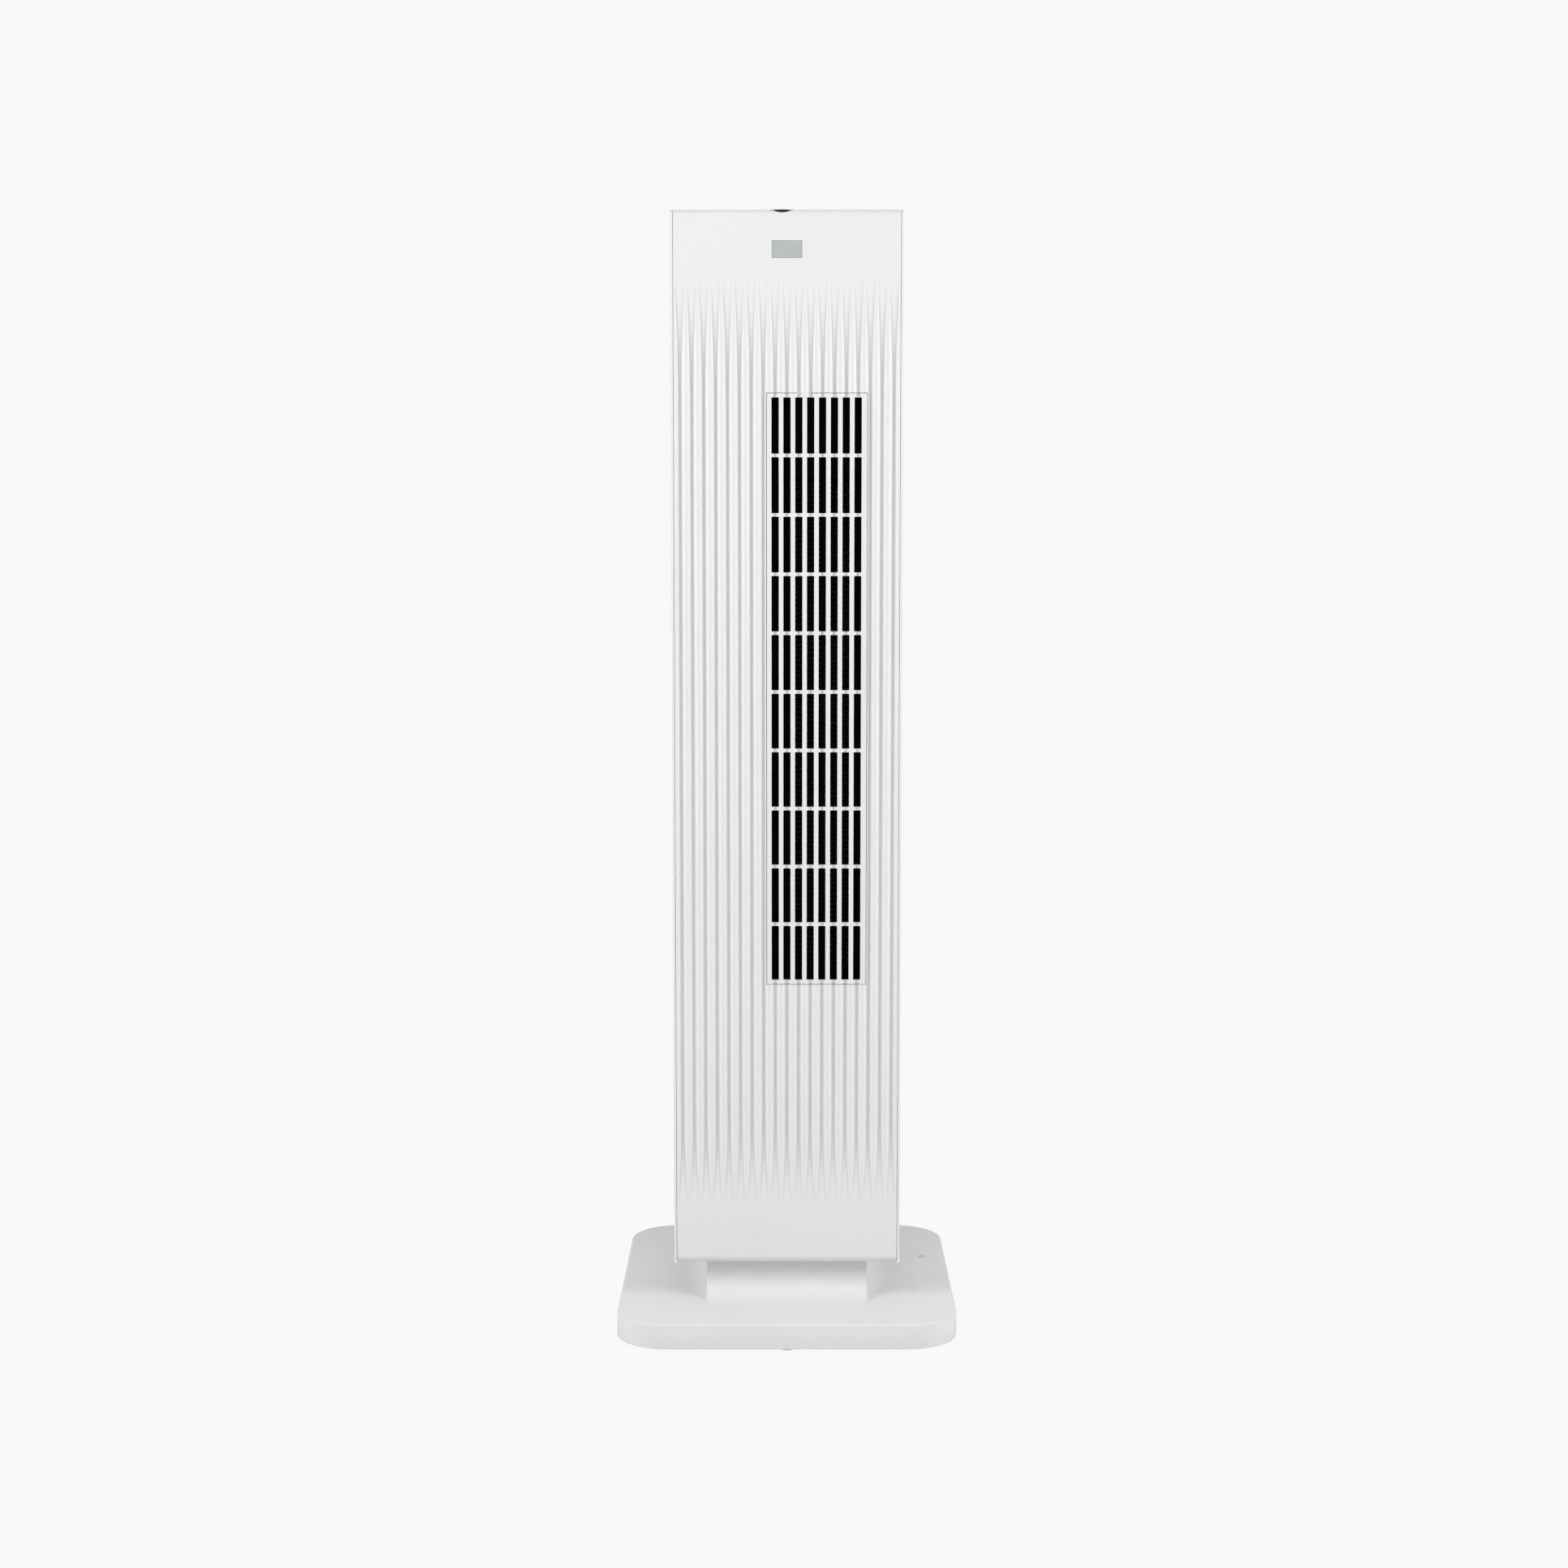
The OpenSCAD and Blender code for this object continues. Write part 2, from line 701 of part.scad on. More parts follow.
module outlet_grille() {
    half_w = insert_w / 2 - insert_gap;
    half_h = insert_h / 2 - insert_gap;
    low_z = insert_mid_z - slot_rows * slot_pitch / 2;
    color(white) difference() {
        union() {
            block([insert_mid_x - half_w, front_y, insert_mid_z - half_h],
                [insert_mid_x + half_w, front_y + front_t + seam, insert_mid_z + half_h]);
            block([insert_mid_x - half_w - 3, front_y + front_t + seam, insert_mid_z - half_h - 3],
                [insert_mid_x + half_w + 3, front_y + front_t + seam + flange_t,
                    insert_mid_z + half_h + 3]);
            block([insert_mid_x - 14, front_y + 0.3, insert_mid_z + half_h - cut],
                [insert_mid_x - 4, front_y + front_t, insert_mid_z + half_h + insert_gap]);
        }
        for (i = [0:slot_columns - 1]) {
            x = slot_first_x + i * flute_pitch;
            translate([x, flute_axis_y, insert_mid_z - insert_h])
                cylinder(h = 2 * insert_h, r = flute_arc_r);
            for (j = [0:slot_rows - 1])
                block([x - slot_w / 2, front_y - cut, low_z + (j + 0.5) * slot_pitch - slot_h / 2],
                    [x + slot_w / 2, front_y + front_t + flange_t + cut,
                        low_z + (j + 0.5) * slot_pitch + slot_h / 2]);
        }
    }
}

// Control area

module display_window() {
    gap = 0.08;
    color([0.62, 0.66, 0.64]) {
        block([-window_w / 2 + gap, front_y, window_z - window_h / 2 + gap],
            [window_w / 2 - gap, front_y + front_t + seam, window_z + window_h / 2 - gap]);
        block([-window_w / 2 - 2, front_y + front_t + seam, window_z - window_h / 2 - 2],
            [window_w / 2 + 2, front_y + front_t + seam + 1, window_z + window_h / 2 + 2]);
    }
}

module display_board() {
    y = front_y + front_t + seam + 1.2;
    color(board_green) {
        block([-30, y + 4, window_z - 16], [30, y + 5.6, window_z + 9]);
        block([-9.5, y, window_z - 5.5], [9.5, y + 4, window_z + 5.5]);
        for (x = [-24, 20]) block([x, y + 5.6, window_z - 12], [x + 6, y + 9, window_z - 2]);
    }
}

module button_guide() {
    outer = [button_x - 18, button_x + 18];
    color(black) translate([0, 0, tower_top - wall - 12]) difference() {
        block([outer[0], front_y + front_t + seam + 3, 0], [outer[1], button_y + 20, 12 - seam]);
        translate([button_x, button_y, 2]) cylinder(h = 12, r = button_recess);
        translate([button_x, button_y, -cut]) cylinder(h = 12, d = stem_d + 2 * run_gap);
    }
}

module power_button() {
    color(black) translate([button_x, button_y, 0]) {
        translate([0, 0, button_z - 5]) cylinder(h = 5, d = button_d);
        translate([0, 0, tower_top - wall - 14]) cylinder(h = 12, d = stem_d);
    }
}

module button_board() {
    top = tower_top - wall - 14 - button_travel - 0.2;
    color(board_green) {
        block([button_x - 15, button_y - 3, top - 5], [button_x + 15, button_y + 22, top - 3.4]);
        block([button_x - 3, button_y - 3, top - 3.4], [button_x + 3, button_y + 3, top]);
        for (s = [-1, 1]) translate([button_x + s * 12, button_y + 18, top - 3.4])
            cylinder(h = tower_top - wall - 12 - top + 3.4, d = 4);
    }
}

// Inside the tower

module inner_frame() {
    rail_x = [61, 64];
    color(nylon) difference() {
        union() {
            for (s = [-1, 1]) {
                block([min(s * rail_x[0], s * rail_x[1]), 4, table_z],
                    [max(s * rail_x[0], s * rail_x[1]), 34, handle_z + 40]);
                for (z = [table_z, housing_top + 14])
                    block([min(s * 52, s * 64), 4, z], [max(s * 52, s * 64), 34, z + 3]);
            }
            block([-64, -14, cross_z], [64, 56, cross_z + cross_t]);
            block([-64, 10, housing_top + 14], [64, 34, housing_top + 17]);
        }
        translate([wheel_at[0], wheel_at[1], cross_z - cut]) cylinder(h = cross_t + 2 * cut, d = 30);
        at_motor_holes(cross_z - cut) cylinder(h = cross_t + 2 * cut, d = 6.2);
        for (s = [-1, 1], z = [table_z + 60:90:handle_z])
            translate([s * rail_x[0] - 5, 19, z]) rotate([0, 90, 0]) cylinder(h = 10, d = 14);
    }
}

module at_motor_holes(z) {
    for (a = [30:120:270]) translate([wheel_at[0], wheel_at[1], z]) rotate([0, 0, a])
        translate([motor_hole_r, 0, 0]) children();
}

module control_board() {
    x = -57;
    z = table_z + 20;
    color(board_green) {
        block([x, -44, z], [x + 1.6, 42, z + 96]);
        for (y = [-38, -14]) block([x + 1.6, y, z + 62], [x + 17, y + 20, z + 90]);
        block([x + 1.6, 12, z + 50], [x + 26, 36, z + 80]);
        for (y = [-30, -12, 6]) translate([x + 1.6, y, z + 34]) rotate([0, 90, 0])
            cylinder(h = 18, d = 12);
        for (y = [-36:18:18]) block([x + 1.6, y, z + 4], [x + 11, y + 12, z + 14]);
        for (y = [-40, 38], h = [6, 90]) translate([x - 6, y, z + h]) rotate([0, 90, 0])
            cylinder(h = 6, d = 5);
    }
}

module blower_motor() {
    color(steel) translate([wheel_at[0], wheel_at[1], motor_z]) difference() {
        union() {
            cylinder(h = motor_h, d = motor_d - 12);
            translate([0, 0, 8]) cylinder(h = motor_h - 16, d = motor_d);
            translate([0, 0, motor_h]) cylinder(h = 3, d = motor_d);
            translate([0, 0, -5]) cylinder(h = 5, d = 16);
            translate([0, 0, motor_h + 3]) cylinder(h = 4, d = 16);
        }
        translate([0, 0, -5 - cut]) cylinder(h = motor_h + 20, d = shaft_d + 2 * run_gap);
        for (a = [30:120:270]) rotate([0, 0, a]) translate([motor_hole_r, 0, motor_h - 6])
            cylinder(h = 12, d = 4);
    }
}

module motor_dampers() {
    color(black) at_motor_holes(cross_z - damper_h) difference() {
        union() {
            cylinder(h = damper_h, d = 12);
            cylinder(h = damper_h + cross_t, d = 6.1);
        }
        translate([0, 0, -cut]) cylinder(h = damper_h + cross_t + 2 * cut, d = 4.1);
    }
}

module motor_screws() {
    color(steel) at_motor_holes(cross_z + cross_t) mirror([0, 0, 1])
        screw(3.9, damper_h + cross_t + 7, 8, 2.2);
}

module motor_shaft() {
    color(alloy) translate([wheel_at[0], wheel_at[1], motor_z - 8])
        cylinder(h = wheel_z + 14 - motor_z + 8, d = shaft_d);
}

// Blade section: a thin curved strip from the wheel's inner radius to its rim
function blade_point(part, side) =
    let (r = wheel_r - 7 + 6.6 * part, a = 16 * part * part + side * 0.4 / r * 180 / PI)
    [r * cos(a), r * sin(a)];
blade_outline = concat(
    [for (i = [0:4]) blade_point(i / 4, -1)],
    [for (i = [4:-1:0]) blade_point(i / 4, 1)]
);

module blower_wheel() {
    color(black) translate([wheel_at[0], wheel_at[1], wheel_z]) {
        for (k = [0:blade_count - 1]) rotate([0, 0, k * 360 / blade_count])
            linear_extrude(wheel_h) polygon(blade_outline);
        for (f = [0.25, 0.5, 0.75]) translate([0, 0, wheel_h * f - 1]) difference() {
            cylinder(h = 2, r = wheel_r);
            translate([0, 0, -cut]) cylinder(h = 2 + 2 * cut, r = wheel_r - 8);
        }
        difference() {
            union() {
                cylinder(h = 2, r = wheel_r);
                cylinder(h = 16, d = 18);
            }
            translate([0, 0, -cut]) cylinder(h = 16, d = shaft_d + 0.02);
        }
        difference() {
            union() {
                translate([0, 0, wheel_h - 2]) cylinder(h = 2, r = wheel_r);
                translate([0, 0, wheel_h - 10]) cylinder(h = 10, d = 14);
            }
            translate([0, 0, wheel_h - 9]) cylinder(h = 9 + cut, d = pin_d + 0.02);
        }
    }
}

module wheel_pin() {
    color(alloy) translate([wheel_at[0], wheel_at[1], wheel_top - 8])
        cylinder(h = 22, d = pin_d);
}

module bearing_bush() {
    color(amber) translate([wheel_at[0], wheel_at[1], housing_top]) difference() {
        cylinder(h = 8, d = 9);
        translate([0, 0, -cut]) cylinder(h = 8 + 2 * cut, d = pin_d + 2 * run_gap);
    }
}

module bearing_holder() {
    color(black) translate([wheel_at[0], wheel_at[1], housing_top - 2.5]) difference() {
        union() {
            cylinder(h = 2.5, d = 19.8);
            translate([0, 0, 2.5]) cylinder(h = 10, d = 26);
        }
        translate([0, 0, 2.5]) cylinder(h = 10 + cut, d = 9.02);
        translate([0, 0, -cut]) cylinder(h = 4, d = 7);
    }
}

// Scroll: its radius grows from behind the wheel to the outlet duct
function scroll_r(a) = wheel_r + 3.5 + 15 * (55 - a) / 90;
function scroll_points(extra) = [
    for (a = [55:-6:-35])
        [wheel_at[0] + (scroll_r(a) + extra) * cos(a), wheel_at[1] + (scroll_r(a) + extra) * sin(a)]
];

module scroll_housing() {
    color(nylon) {
        translate([0, 0, housing_z]) linear_extrude(housing_top - housing_z) polygon(concat(
            scroll_points(0),
            [[duct_x[1], core_y[1] + 6], [duct_x[1], duct_front_y]],
            [[duct_x[1] + 2, duct_front_y], [duct_x[1] + 2, core_y[1] + 6]],
            [for (i = [15:-1:0]) scroll_points(2)[i]]
        ));
        for (z = [housing_z, housing_top - 2.5]) difference() {
            translate([0, 0, z]) linear_extrude(2.5) {
                translate(wheel_at) circle(wheel_r + 5);
                polygon([
                    [duct_x[0] - 2, duct_front_y], [duct_x[1] + 2, duct_front_y],
                    [duct_x[1] + 2, core_y[1] + 6], [wheel_at[0] + wheel_r + 5, wheel_at[1]],
                    [wheel_at[0] - wheel_r - 5, wheel_at[1]], [duct_x[0] - 2, core_y[1] + 6]
                ]);
            }
            translate([wheel_at[0], wheel_at[1], z - cut]) cylinder(h = 5, d = 20);
            at_motor_holes(housing_z - cut) cylinder(h = 2.5 + 2 * cut, d = 9);
        }
    }
}

module air_tongue() {
    x = duct_x[0];
    color(nylon) translate([0, 0, housing_z + 2.6])
        linear_extrude(housing_top - housing_z - 5.2) {
            polygon([
                [x - 2, duct_front_y], [x, duct_front_y], [x, -16], [x - 1, -12],
                [x - 5, -9.5], [x - 12, -8], [x - 12, -10], [x - 6, -11.5], [x - 2, -16]
            ]);
        }
}

// Heating core

module heater_frame() {
    lip_y = core_y[0] - lip_t;
    color(black) difference() {
        block([duct_x[0] + 0.3, lip_y, housing_z + 2.8],
            [duct_x[1] - 0.3, core_y[1], housing_top - 2.8]);
        block([bar_x[0] - bar_w / 2 - seam, core_y[0], core_z[0]],
            [bar_x[2] + bar_w / 2 + seam, core_y[1] + cut, core_z[1]]);
        block([bar_x[0] - bar_w / 2 - seam, lip_y - cut, core_z[0] + 3],
            [bar_x[2] - 4, core_y[0] + cut, core_z[1] - 2]);
        block([0, core_y[0] + 3, core_z[1] + 8], [46, core_y[1] + cut, housing_top - 8]);
        for (x = bar_x)
            block([x - 1, core_y[0] + 3, housing_z], [x + 1, core_y[1] - 3, core_z[0] + cut]);
    }
}

module heater_bars() {
    color(alloy) for (x = bar_x)
        block([x - bar_w / 2, core_y[0] + seam, core_z[0] + seam],
            [x + bar_w / 2, core_y[1], core_z[1] - seam]);
}

// One corrugated strip, folded from side to side up the core
module fin_strip(x0, x1) {
    t = fin_sheet;
    rise = (fin_pitch - 2 * fin_gap) / 2;
    periods = floor((core_z[1] - core_z[0] - 4) / fin_pitch);
    right = [for (k = [0:periods - 1]) let (z = k * fin_pitch) each [
        [x1, z + rise],
        [x1, z + rise + fin_gap + t],
        [x0 + t, z + 2 * rise + fin_gap + t],
        [x0 + t, z + fin_pitch]
    ]];
    left = [for (k = [periods - 1:-1:0]) let (z = k * fin_pitch) each [
        [x0, z + fin_pitch + t],
        [x0, z + 2 * rise + fin_gap],
        [x1 - t, z + rise + fin_gap],
        [x1 - t, z + rise + t]
    ]];
    translate([0, 0, core_z[0] + 1.5]) along_y(core_y[0] + 0.8, core_y[1] - 0.4)
        polygon(concat([[x0, t], [x0, 0]], right, left));
}

module heater_fins() {
    color(alloy) for (i = [0, 1])
        fin_strip(bar_x[i] + bar_w / 2 + seam, bar_x[i + 1] - bar_w / 2 - seam);
}

module heater_terminals() {
    color(steel) for (x = bar_x)
        block([x - 0.4, core_y[0] + 3.4, housing_z + 2.9], [x + 0.4, core_y[1] - 3.4, core_z[0]]);
}

module thermal_cutout() {
    mid_z = (core_z[1] + housing_top) / 2;
    color(black) translate([20, core_y[1] - 9.9, mid_z]) rotate([-90, 0, 0]) {
        cylinder(h = 7, d = 16);
        for (s = [-1, 1]) block([s * 5 - 2.4, -0.4, 6], [s * 5 + 2.4, 0.4, 14]);
        block([-12, -4, 0], [12, 4, 1]);
    }
}

// Rear fittings

module handle_cup() {
    w = handle_w - 0.3;
    h = handle_h - 0.3;
    mouth = back_y - 0.3;
    color(white) translate([0, 0, handle_z]) difference() {
        union() {
            block([-w / 2, mouth - handle_deep, -h / 2], [w / 2, mouth, h / 2]);
            block([-w / 2 - 3, rear_seam_y + 4, -h / 2 - 3], [w / 2 + 3, back_y - wall - seam, h / 2 + 3]);
        }
        block([-w / 2 + 2.2, mouth - handle_deep + 2.2, -h / 2 + 2.2],
            [w / 2 - 2.2, back_y + cut, h / 2 - 2.2]);
    }
}

module switch_housing() {
    color(black) translate([rocker_x, 0, rocker_z]) difference() {
        union() {
            block([-rocker_w / 2 - 1.5, back_y - 18, -rocker_h / 2 - 1.5],
                [rocker_w / 2 + 1.5, back_y, rocker_h / 2 + 1.5]);
            block([-rocker_w / 2 - 3, back_y - wall - 1.6, -rocker_h / 2 - 3],
                [rocker_w / 2 + 3, back_y - wall - seam, rocker_h / 2 + 3]);
        }
        block([-rocker_w / 2 + 0.4, back_y - 12, -rocker_h / 2 - 0.2],
            [rocker_w / 2 - 0.4, back_y + cut, rocker_h / 2 + 0.2]);
        translate([-rocker_w / 2 - 2 * cut, back_y - 5, 0]) rotate([0, 90, 0])
            cylinder(h = rocker_w + 4 * cut, d = 2 + 2 * run_gap);
    }
}

// Rocker: round under its pivot, with two finger faces that meet in a shallow V
module switch_rocker() {
    half = rocker_w / 2 - 0.7;
    pivot_y = back_y - 5;
    color(black) translate([rocker_x, pivot_y, rocker_z]) {
        rotate([6, 0, 0]) along_x(-half, half) intersection() {
            circle(rocker_r - 0.4);
            polygon([[-3, -8.6], [3.4, -8.6], [2.4, 0], [3.4, 8.6], [-3, 8.6]]);
        }
        translate([-rocker_w / 2 - 0.8, 0, 0]) rotate([0, 90, 0])
            cylinder(h = rocker_w + 1.6, d = 2);
    }
}

module inlet_cover() {
    w = inlet_w - 0.4;
    h = inlet_h - 0.4;
    low = inlet_z - (louvre_count - 1) * louvre_pitch / 2;
    color(white) difference() {
        block([-w / 2, back_y - 0.3 - cover_t, inlet_z - h / 2], [w / 2, back_y - 0.3, inlet_z + h / 2]);
        for (i = [0:louvre_count - 1], s = [-1, 1])
            block([s * 20.5 - 17.5, back_y - 8, low + i * louvre_pitch - louvre_h / 2],
                [s * 20.5 + 17.5, back_y + cut, low + i * louvre_pitch + louvre_h / 2]);
        block([-12, back_y - 1.5, inlet_z + h / 2 - 5], [12, back_y + cut, inlet_z + h / 2 - 1.2]);
    }
}

module dust_filter() {
    y = rear_seam_y + 4.3;
    w = inlet_w - 0.8;
    h = inlet_h - 0.8;
    color(black) {
        difference() {
            block([-w / 2, y, inlet_z - h / 2], [w / 2, y + filter_t, inlet_z + h / 2]);
            for (s = [-1, 1], k = [-2:2])
                block([s * 21.5 - 18.5, y - cut, inlet_z + k * 84 - 39],
                    [s * 21.5 + 18.5, y + filter_t + cut, inlet_z + k * 84 + 39]);
        }
        block([-w / 2 + 1, y + 1.2, inlet_z - h / 2 + 1], [w / 2 - 1, y + 1.7, inlet_z + h / 2 - 1]);
    }
}

base_cover();
neck_cover();
base_plate();
counterweight();
ballast_screws();
rubber_feet();
base_screws();
cord_gland();
indicator_lens();
indicator_board();
tip_switch();
tip_plunger();
swivel_post();
post_screws();
slide_ring();
ring_gear();
retaining_ring();
front_panel();
left_side_panel();
right_side_panel();
rear_panel();
rear_screws();
outlet_grille();
display_window();
display_board();
button_guide();
power_button();
button_board();
turntable();
turntable_screws();
thrust_washer();
swing_motor();
motor_ear_screws();
swing_pinion();
inner_frame();
control_board();
blower_motor();
motor_dampers();
motor_screws();
motor_shaft();
blower_wheel();
wheel_pin();
bearing_bush();
bearing_holder();
scroll_housing();
air_tongue();
heater_frame();
heater_bars();
heater_fins();
heater_terminals();
thermal_cutout();
handle_cup();
switch_housing();
switch_rocker();
inlet_cover();
dust_filter();
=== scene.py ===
"""A tall white ceramic tower heater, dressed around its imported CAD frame.

The CAD gives every place. The shells that show most are rebuilt here as fine meshes: the fluted
front, the outlet grille, the base with its coved neck, and the button with its mark.
Lengths are in metres; MM turns millimetres into metres.
"""

import json
import math
import bmesh
import bpy
from mathutils import Matrix, Vector


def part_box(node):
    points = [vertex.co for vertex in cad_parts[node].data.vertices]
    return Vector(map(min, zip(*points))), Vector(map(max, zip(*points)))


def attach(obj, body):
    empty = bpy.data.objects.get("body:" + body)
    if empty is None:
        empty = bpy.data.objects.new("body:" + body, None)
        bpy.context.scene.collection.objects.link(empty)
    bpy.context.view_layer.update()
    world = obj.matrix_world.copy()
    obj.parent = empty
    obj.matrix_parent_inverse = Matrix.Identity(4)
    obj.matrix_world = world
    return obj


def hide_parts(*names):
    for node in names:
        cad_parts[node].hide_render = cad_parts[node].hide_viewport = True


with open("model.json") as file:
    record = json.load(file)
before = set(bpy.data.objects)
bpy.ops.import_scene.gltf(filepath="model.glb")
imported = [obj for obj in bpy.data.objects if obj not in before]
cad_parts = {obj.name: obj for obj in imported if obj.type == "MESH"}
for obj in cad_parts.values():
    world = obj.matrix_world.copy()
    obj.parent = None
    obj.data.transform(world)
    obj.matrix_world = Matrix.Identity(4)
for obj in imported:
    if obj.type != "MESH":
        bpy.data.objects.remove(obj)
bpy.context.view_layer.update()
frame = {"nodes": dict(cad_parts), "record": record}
MM = 0.001

# Flutes in the front face
FLUTE_PITCH = 8 * MM
FLUTE_W = 5.4 * MM
FLUTE_DEEP = 2.1 * MM
FLUTE_COUNT = 19
FLUTE_ARC_STEPS = 9
LIP_R = 0.35 * MM
FLUTE_ENDS = (42 * MM, 108 * MM, 588 * MM, 676.5 * MM)

# Shares of the full depth that get a row of their own where the flutes run out
RUN_OUT_SHARES = (0.0, 0.04, 0.1, 0.94, 0.985, 1.0)

# Outlet slots
SLOT_ROWS = 10
SLOT_COLUMNS = 8
SLOT_W = 5.1 * MM
SLOT_H = 37.6 * MM
SLOT_EASE = 0.25 * MM
SLOT_PITCH = 40 * MM

# Front shell: thickness of its face and of its returns, bends, edges and gaps
FRONT_T = 4.2 * MM
WALL = 2.5 * MM
BEND_R = 5.5 * MM
EDGE_R = 0.25 * MM
GAP = 0.4 * MM
SIDE_GAP = 0.15 * MM
LENS_GAP = 0.08 * MM

# What the CAD's insert and lens hide behind the front's face, past their openings
FLANGE = 3 * MM
LENS_FLANGE = 2 * MM

# The latch over the grille: a low tab and its rib, each from and to, left of the grille's middle
TAB = (-14 * MM, -4 * MM)
TAB_RIB = (-9.8 * MM, -6.7 * MM)

# Length of the cylinders that cut round holes
BORE = 8 * MM

# Steps round each corner and along each side of the base's outlines
CORNER_STEPS = 20
SIDE_STEPS = 8
NECK_STEPS = 22

# Neck: half its width above the flare, half its foot each way, and half the shaft inside it
NECK_X = 56 * MM
NECK_FOOT = (75 * MM, 79 * MM)
SHAFT = (52 * MM, 49 * MM)

# The neck's flare at the foot of each side: its axis, height and width
FLARE_X = 105 * MM
FLARE_H = 8 * MM
FLARE_W = 19.6 * MM

# Camera: where a standing viewer's lens sees the heater from
CAMERA_AT = (-2 * MM, -1851.4 * MM, 569 * MM)
CAMERA_TILT = math.radians(5.99)
CAMERA_LENS = 60.2

# Brightness of the backdrop to the eye, and of the light that it gives
BACKDROP = 0.94
AMBIENT = 0.34


# ---------------------------------------------------------------- materials


class Shader:
    """A Principled material whose colour, roughness and bump come from nodes in object space."""

    def __init__(self, name, roughness=0.5, **sockets):
        self.material = bpy.data.materials.new(name)
        self.material.use_nodes = True
        self.tree = self.material.node_tree
        self.surface = self.tree.nodes["Principled BSDF"]
        self.surface.inputs["Roughness"].default_value = roughness
        for socket, value in sockets.items():
            self.surface.inputs[socket.replace("_", " ")].default_value = value
        self.coords = self.tree.nodes.new("ShaderNodeTexCoord").outputs["Object"]
        self.height = None

    def node(self, kind, **inputs):
        made = self.tree.nodes.new(kind)
        for key, value in inputs.items():
            made.inputs[key.replace("_", " ")].default_value = value
        return made

    def stretched(self, scale):
        mapping = self.node("ShaderNodeMapping", Scale=scale)
        self.tree.links.new(self.coords, mapping.inputs["Vector"])
        return mapping.outputs["Vector"]

    def noise(self, scale, detail=2.0, stretch=(1, 1, 1)):
        made = self.node("ShaderNodeTexNoise", Scale=scale, Detail=detail)
        self.tree.links.new(self.stretched(stretch), made.inputs["Vector"])
        return made.outputs["Fac"]

    def ramp(self, source, low, high, start=0.35, end=0.65):
        made = self.tree.nodes.new("ShaderNodeValToRGB")
        made.color_ramp.elements[0].position = start
        made.color_ramp.elements[1].position = end
        made.color_ramp.elements[0].color = (*low, 1)
        made.color_ramp.elements[1].color = (*high, 1)
        self.tree.links.new(source, made.inputs["Fac"])
        return made.outputs["Color"]

    def colour(self, source, low, high, start=0.35, end=0.65):
        self.tree.links.new(self.ramp(source, low, high, start, end), self.surface.inputs["Base Color"])

    def rough(self, source, low, high):
        spread = self.node("ShaderNodeMapRange", To_Min=low, To_Max=high)
        self.tree.links.new(source, spread.inputs["Value"])
        self.tree.links.new(spread.outputs["Result"], self.surface.inputs["Roughness"])

    def bump(self, source, distance, strength=1.0):
        made = self.node("ShaderNodeBump", Distance=distance, Strength=strength)
        self.tree.links.new(source, made.inputs["Height"])
        if self.height is not None:
            self.tree.links.new(self.height, made.inputs["Normal"])
        self.height = made.outputs["Normal"]
        self.tree.links.new(self.height, self.surface.inputs["Normal"])


def grey(value, warmth=0.0):
    return (value * (1 + warmth), value, value * (1 - warmth))


def white_plastic():
    """Fine-grained satin moulding with a faint drift of tone."""
    made = Shader("white_moulding", roughness=0.55, Specular_IOR_Level=0.25)
    made.colour(made.noise(9, 3), (0.788, 0.779, 0.791), (0.801, 0.792, 0.804))
    made.rough(made.noise(420, 3), 0.50, 0.62)
    made.bump(made.noise(3400, 2), 0.012 * MM, 0.6)
    made.bump(made.noise(14, 1), 0.05 * MM, 0.25)
    return made.material


def black_plastic():
    made = Shader("black_moulding", roughness=0.5)
    made.colour(made.noise(60, 4), grey(0.010), grey(0.017))
    made.rough(made.noise(500, 2), 0.42, 0.62)
    made.bump(made.noise(2600, 2), 0.02 * MM, 0.7)
    return made.material


def core_black():
    """The heating core's heat-proof frame and bars, and the blower wheel: dull black, painted darker
    still, nearly lightless, as painted shade for the dark inside of the tower seen through the slots.
    """
    made = Shader("core_black", roughness=0.85, Specular_IOR_Level=0.08)
    # Near-lightless colour, darker than black plastic: painted shade for the tower's dark inside.
    made.colour(made.noise(60, 4), grey(0.002), grey(0.005))
    made.rough(made.noise(500, 2), 0.78, 0.92)
    made.bump(made.noise(1800, 3), 0.03 * MM, 0.7)
    return made.material


def black_gloss():
    made = Shader("black_gloss", roughness=0.16, Coat_Weight=0.5, Coat_Roughness=0.05)
    made.colour(made.noise(40, 3), grey(0.006), grey(0.010))
    made.rough(made.noise(180, 4), 0.12, 0.22)
    made.bump(made.noise(30, 1), 0.03 * MM, 0.3)
    return made.material


def smoked_lens():
    made = Shader("smoked_lens", roughness=0.22, Specular_IOR_Level=0.5)
    made.colour(made.noise(120, 2, (1, 1, 2)), (0.43, 0.46, 0.44), (0.47, 0.50, 0.48))
    made.rough(made.noise(260, 3), 0.20, 0.30)
    made.bump(made.noise(60, 1), 0.02 * MM, 0.3)
    return made.material


def lamp_lens():
    made = Shader("lamp_lens", roughness=0.35, Specular_IOR_Level=0.3)
    made.colour(made.noise(300, 2), (0.46, 0.46, 0.47), (0.52, 0.52, 0.53))
    made.rough(made.noise(400, 2), 0.3, 0.44)
    return made.material


def circuit_board():
    made = Shader("circuit_board", roughness=0.35)
    made.colour(made.noise(260, 6, (1, 1, 3)), (0.008, 0.05, 0.02), (0.03, 0.14, 0.06), 0.45, 0.55)
    made.rough(made.noise(300, 2), 0.28, 0.45)
    made.bump(made.noise(420, 3), 0.05 * MM, 0.5)
    return made.material


def rubber():
    made = Shader("black_rubber", roughness=0.8)
    made.colour(made.noise(90, 4), grey(0.010), grey(0.020))
    made.rough(made.noise(300, 3), 0.7, 0.9)
    made.bump(made.noise(1500, 3), 0.04 * MM, 0.8)
    return made.material


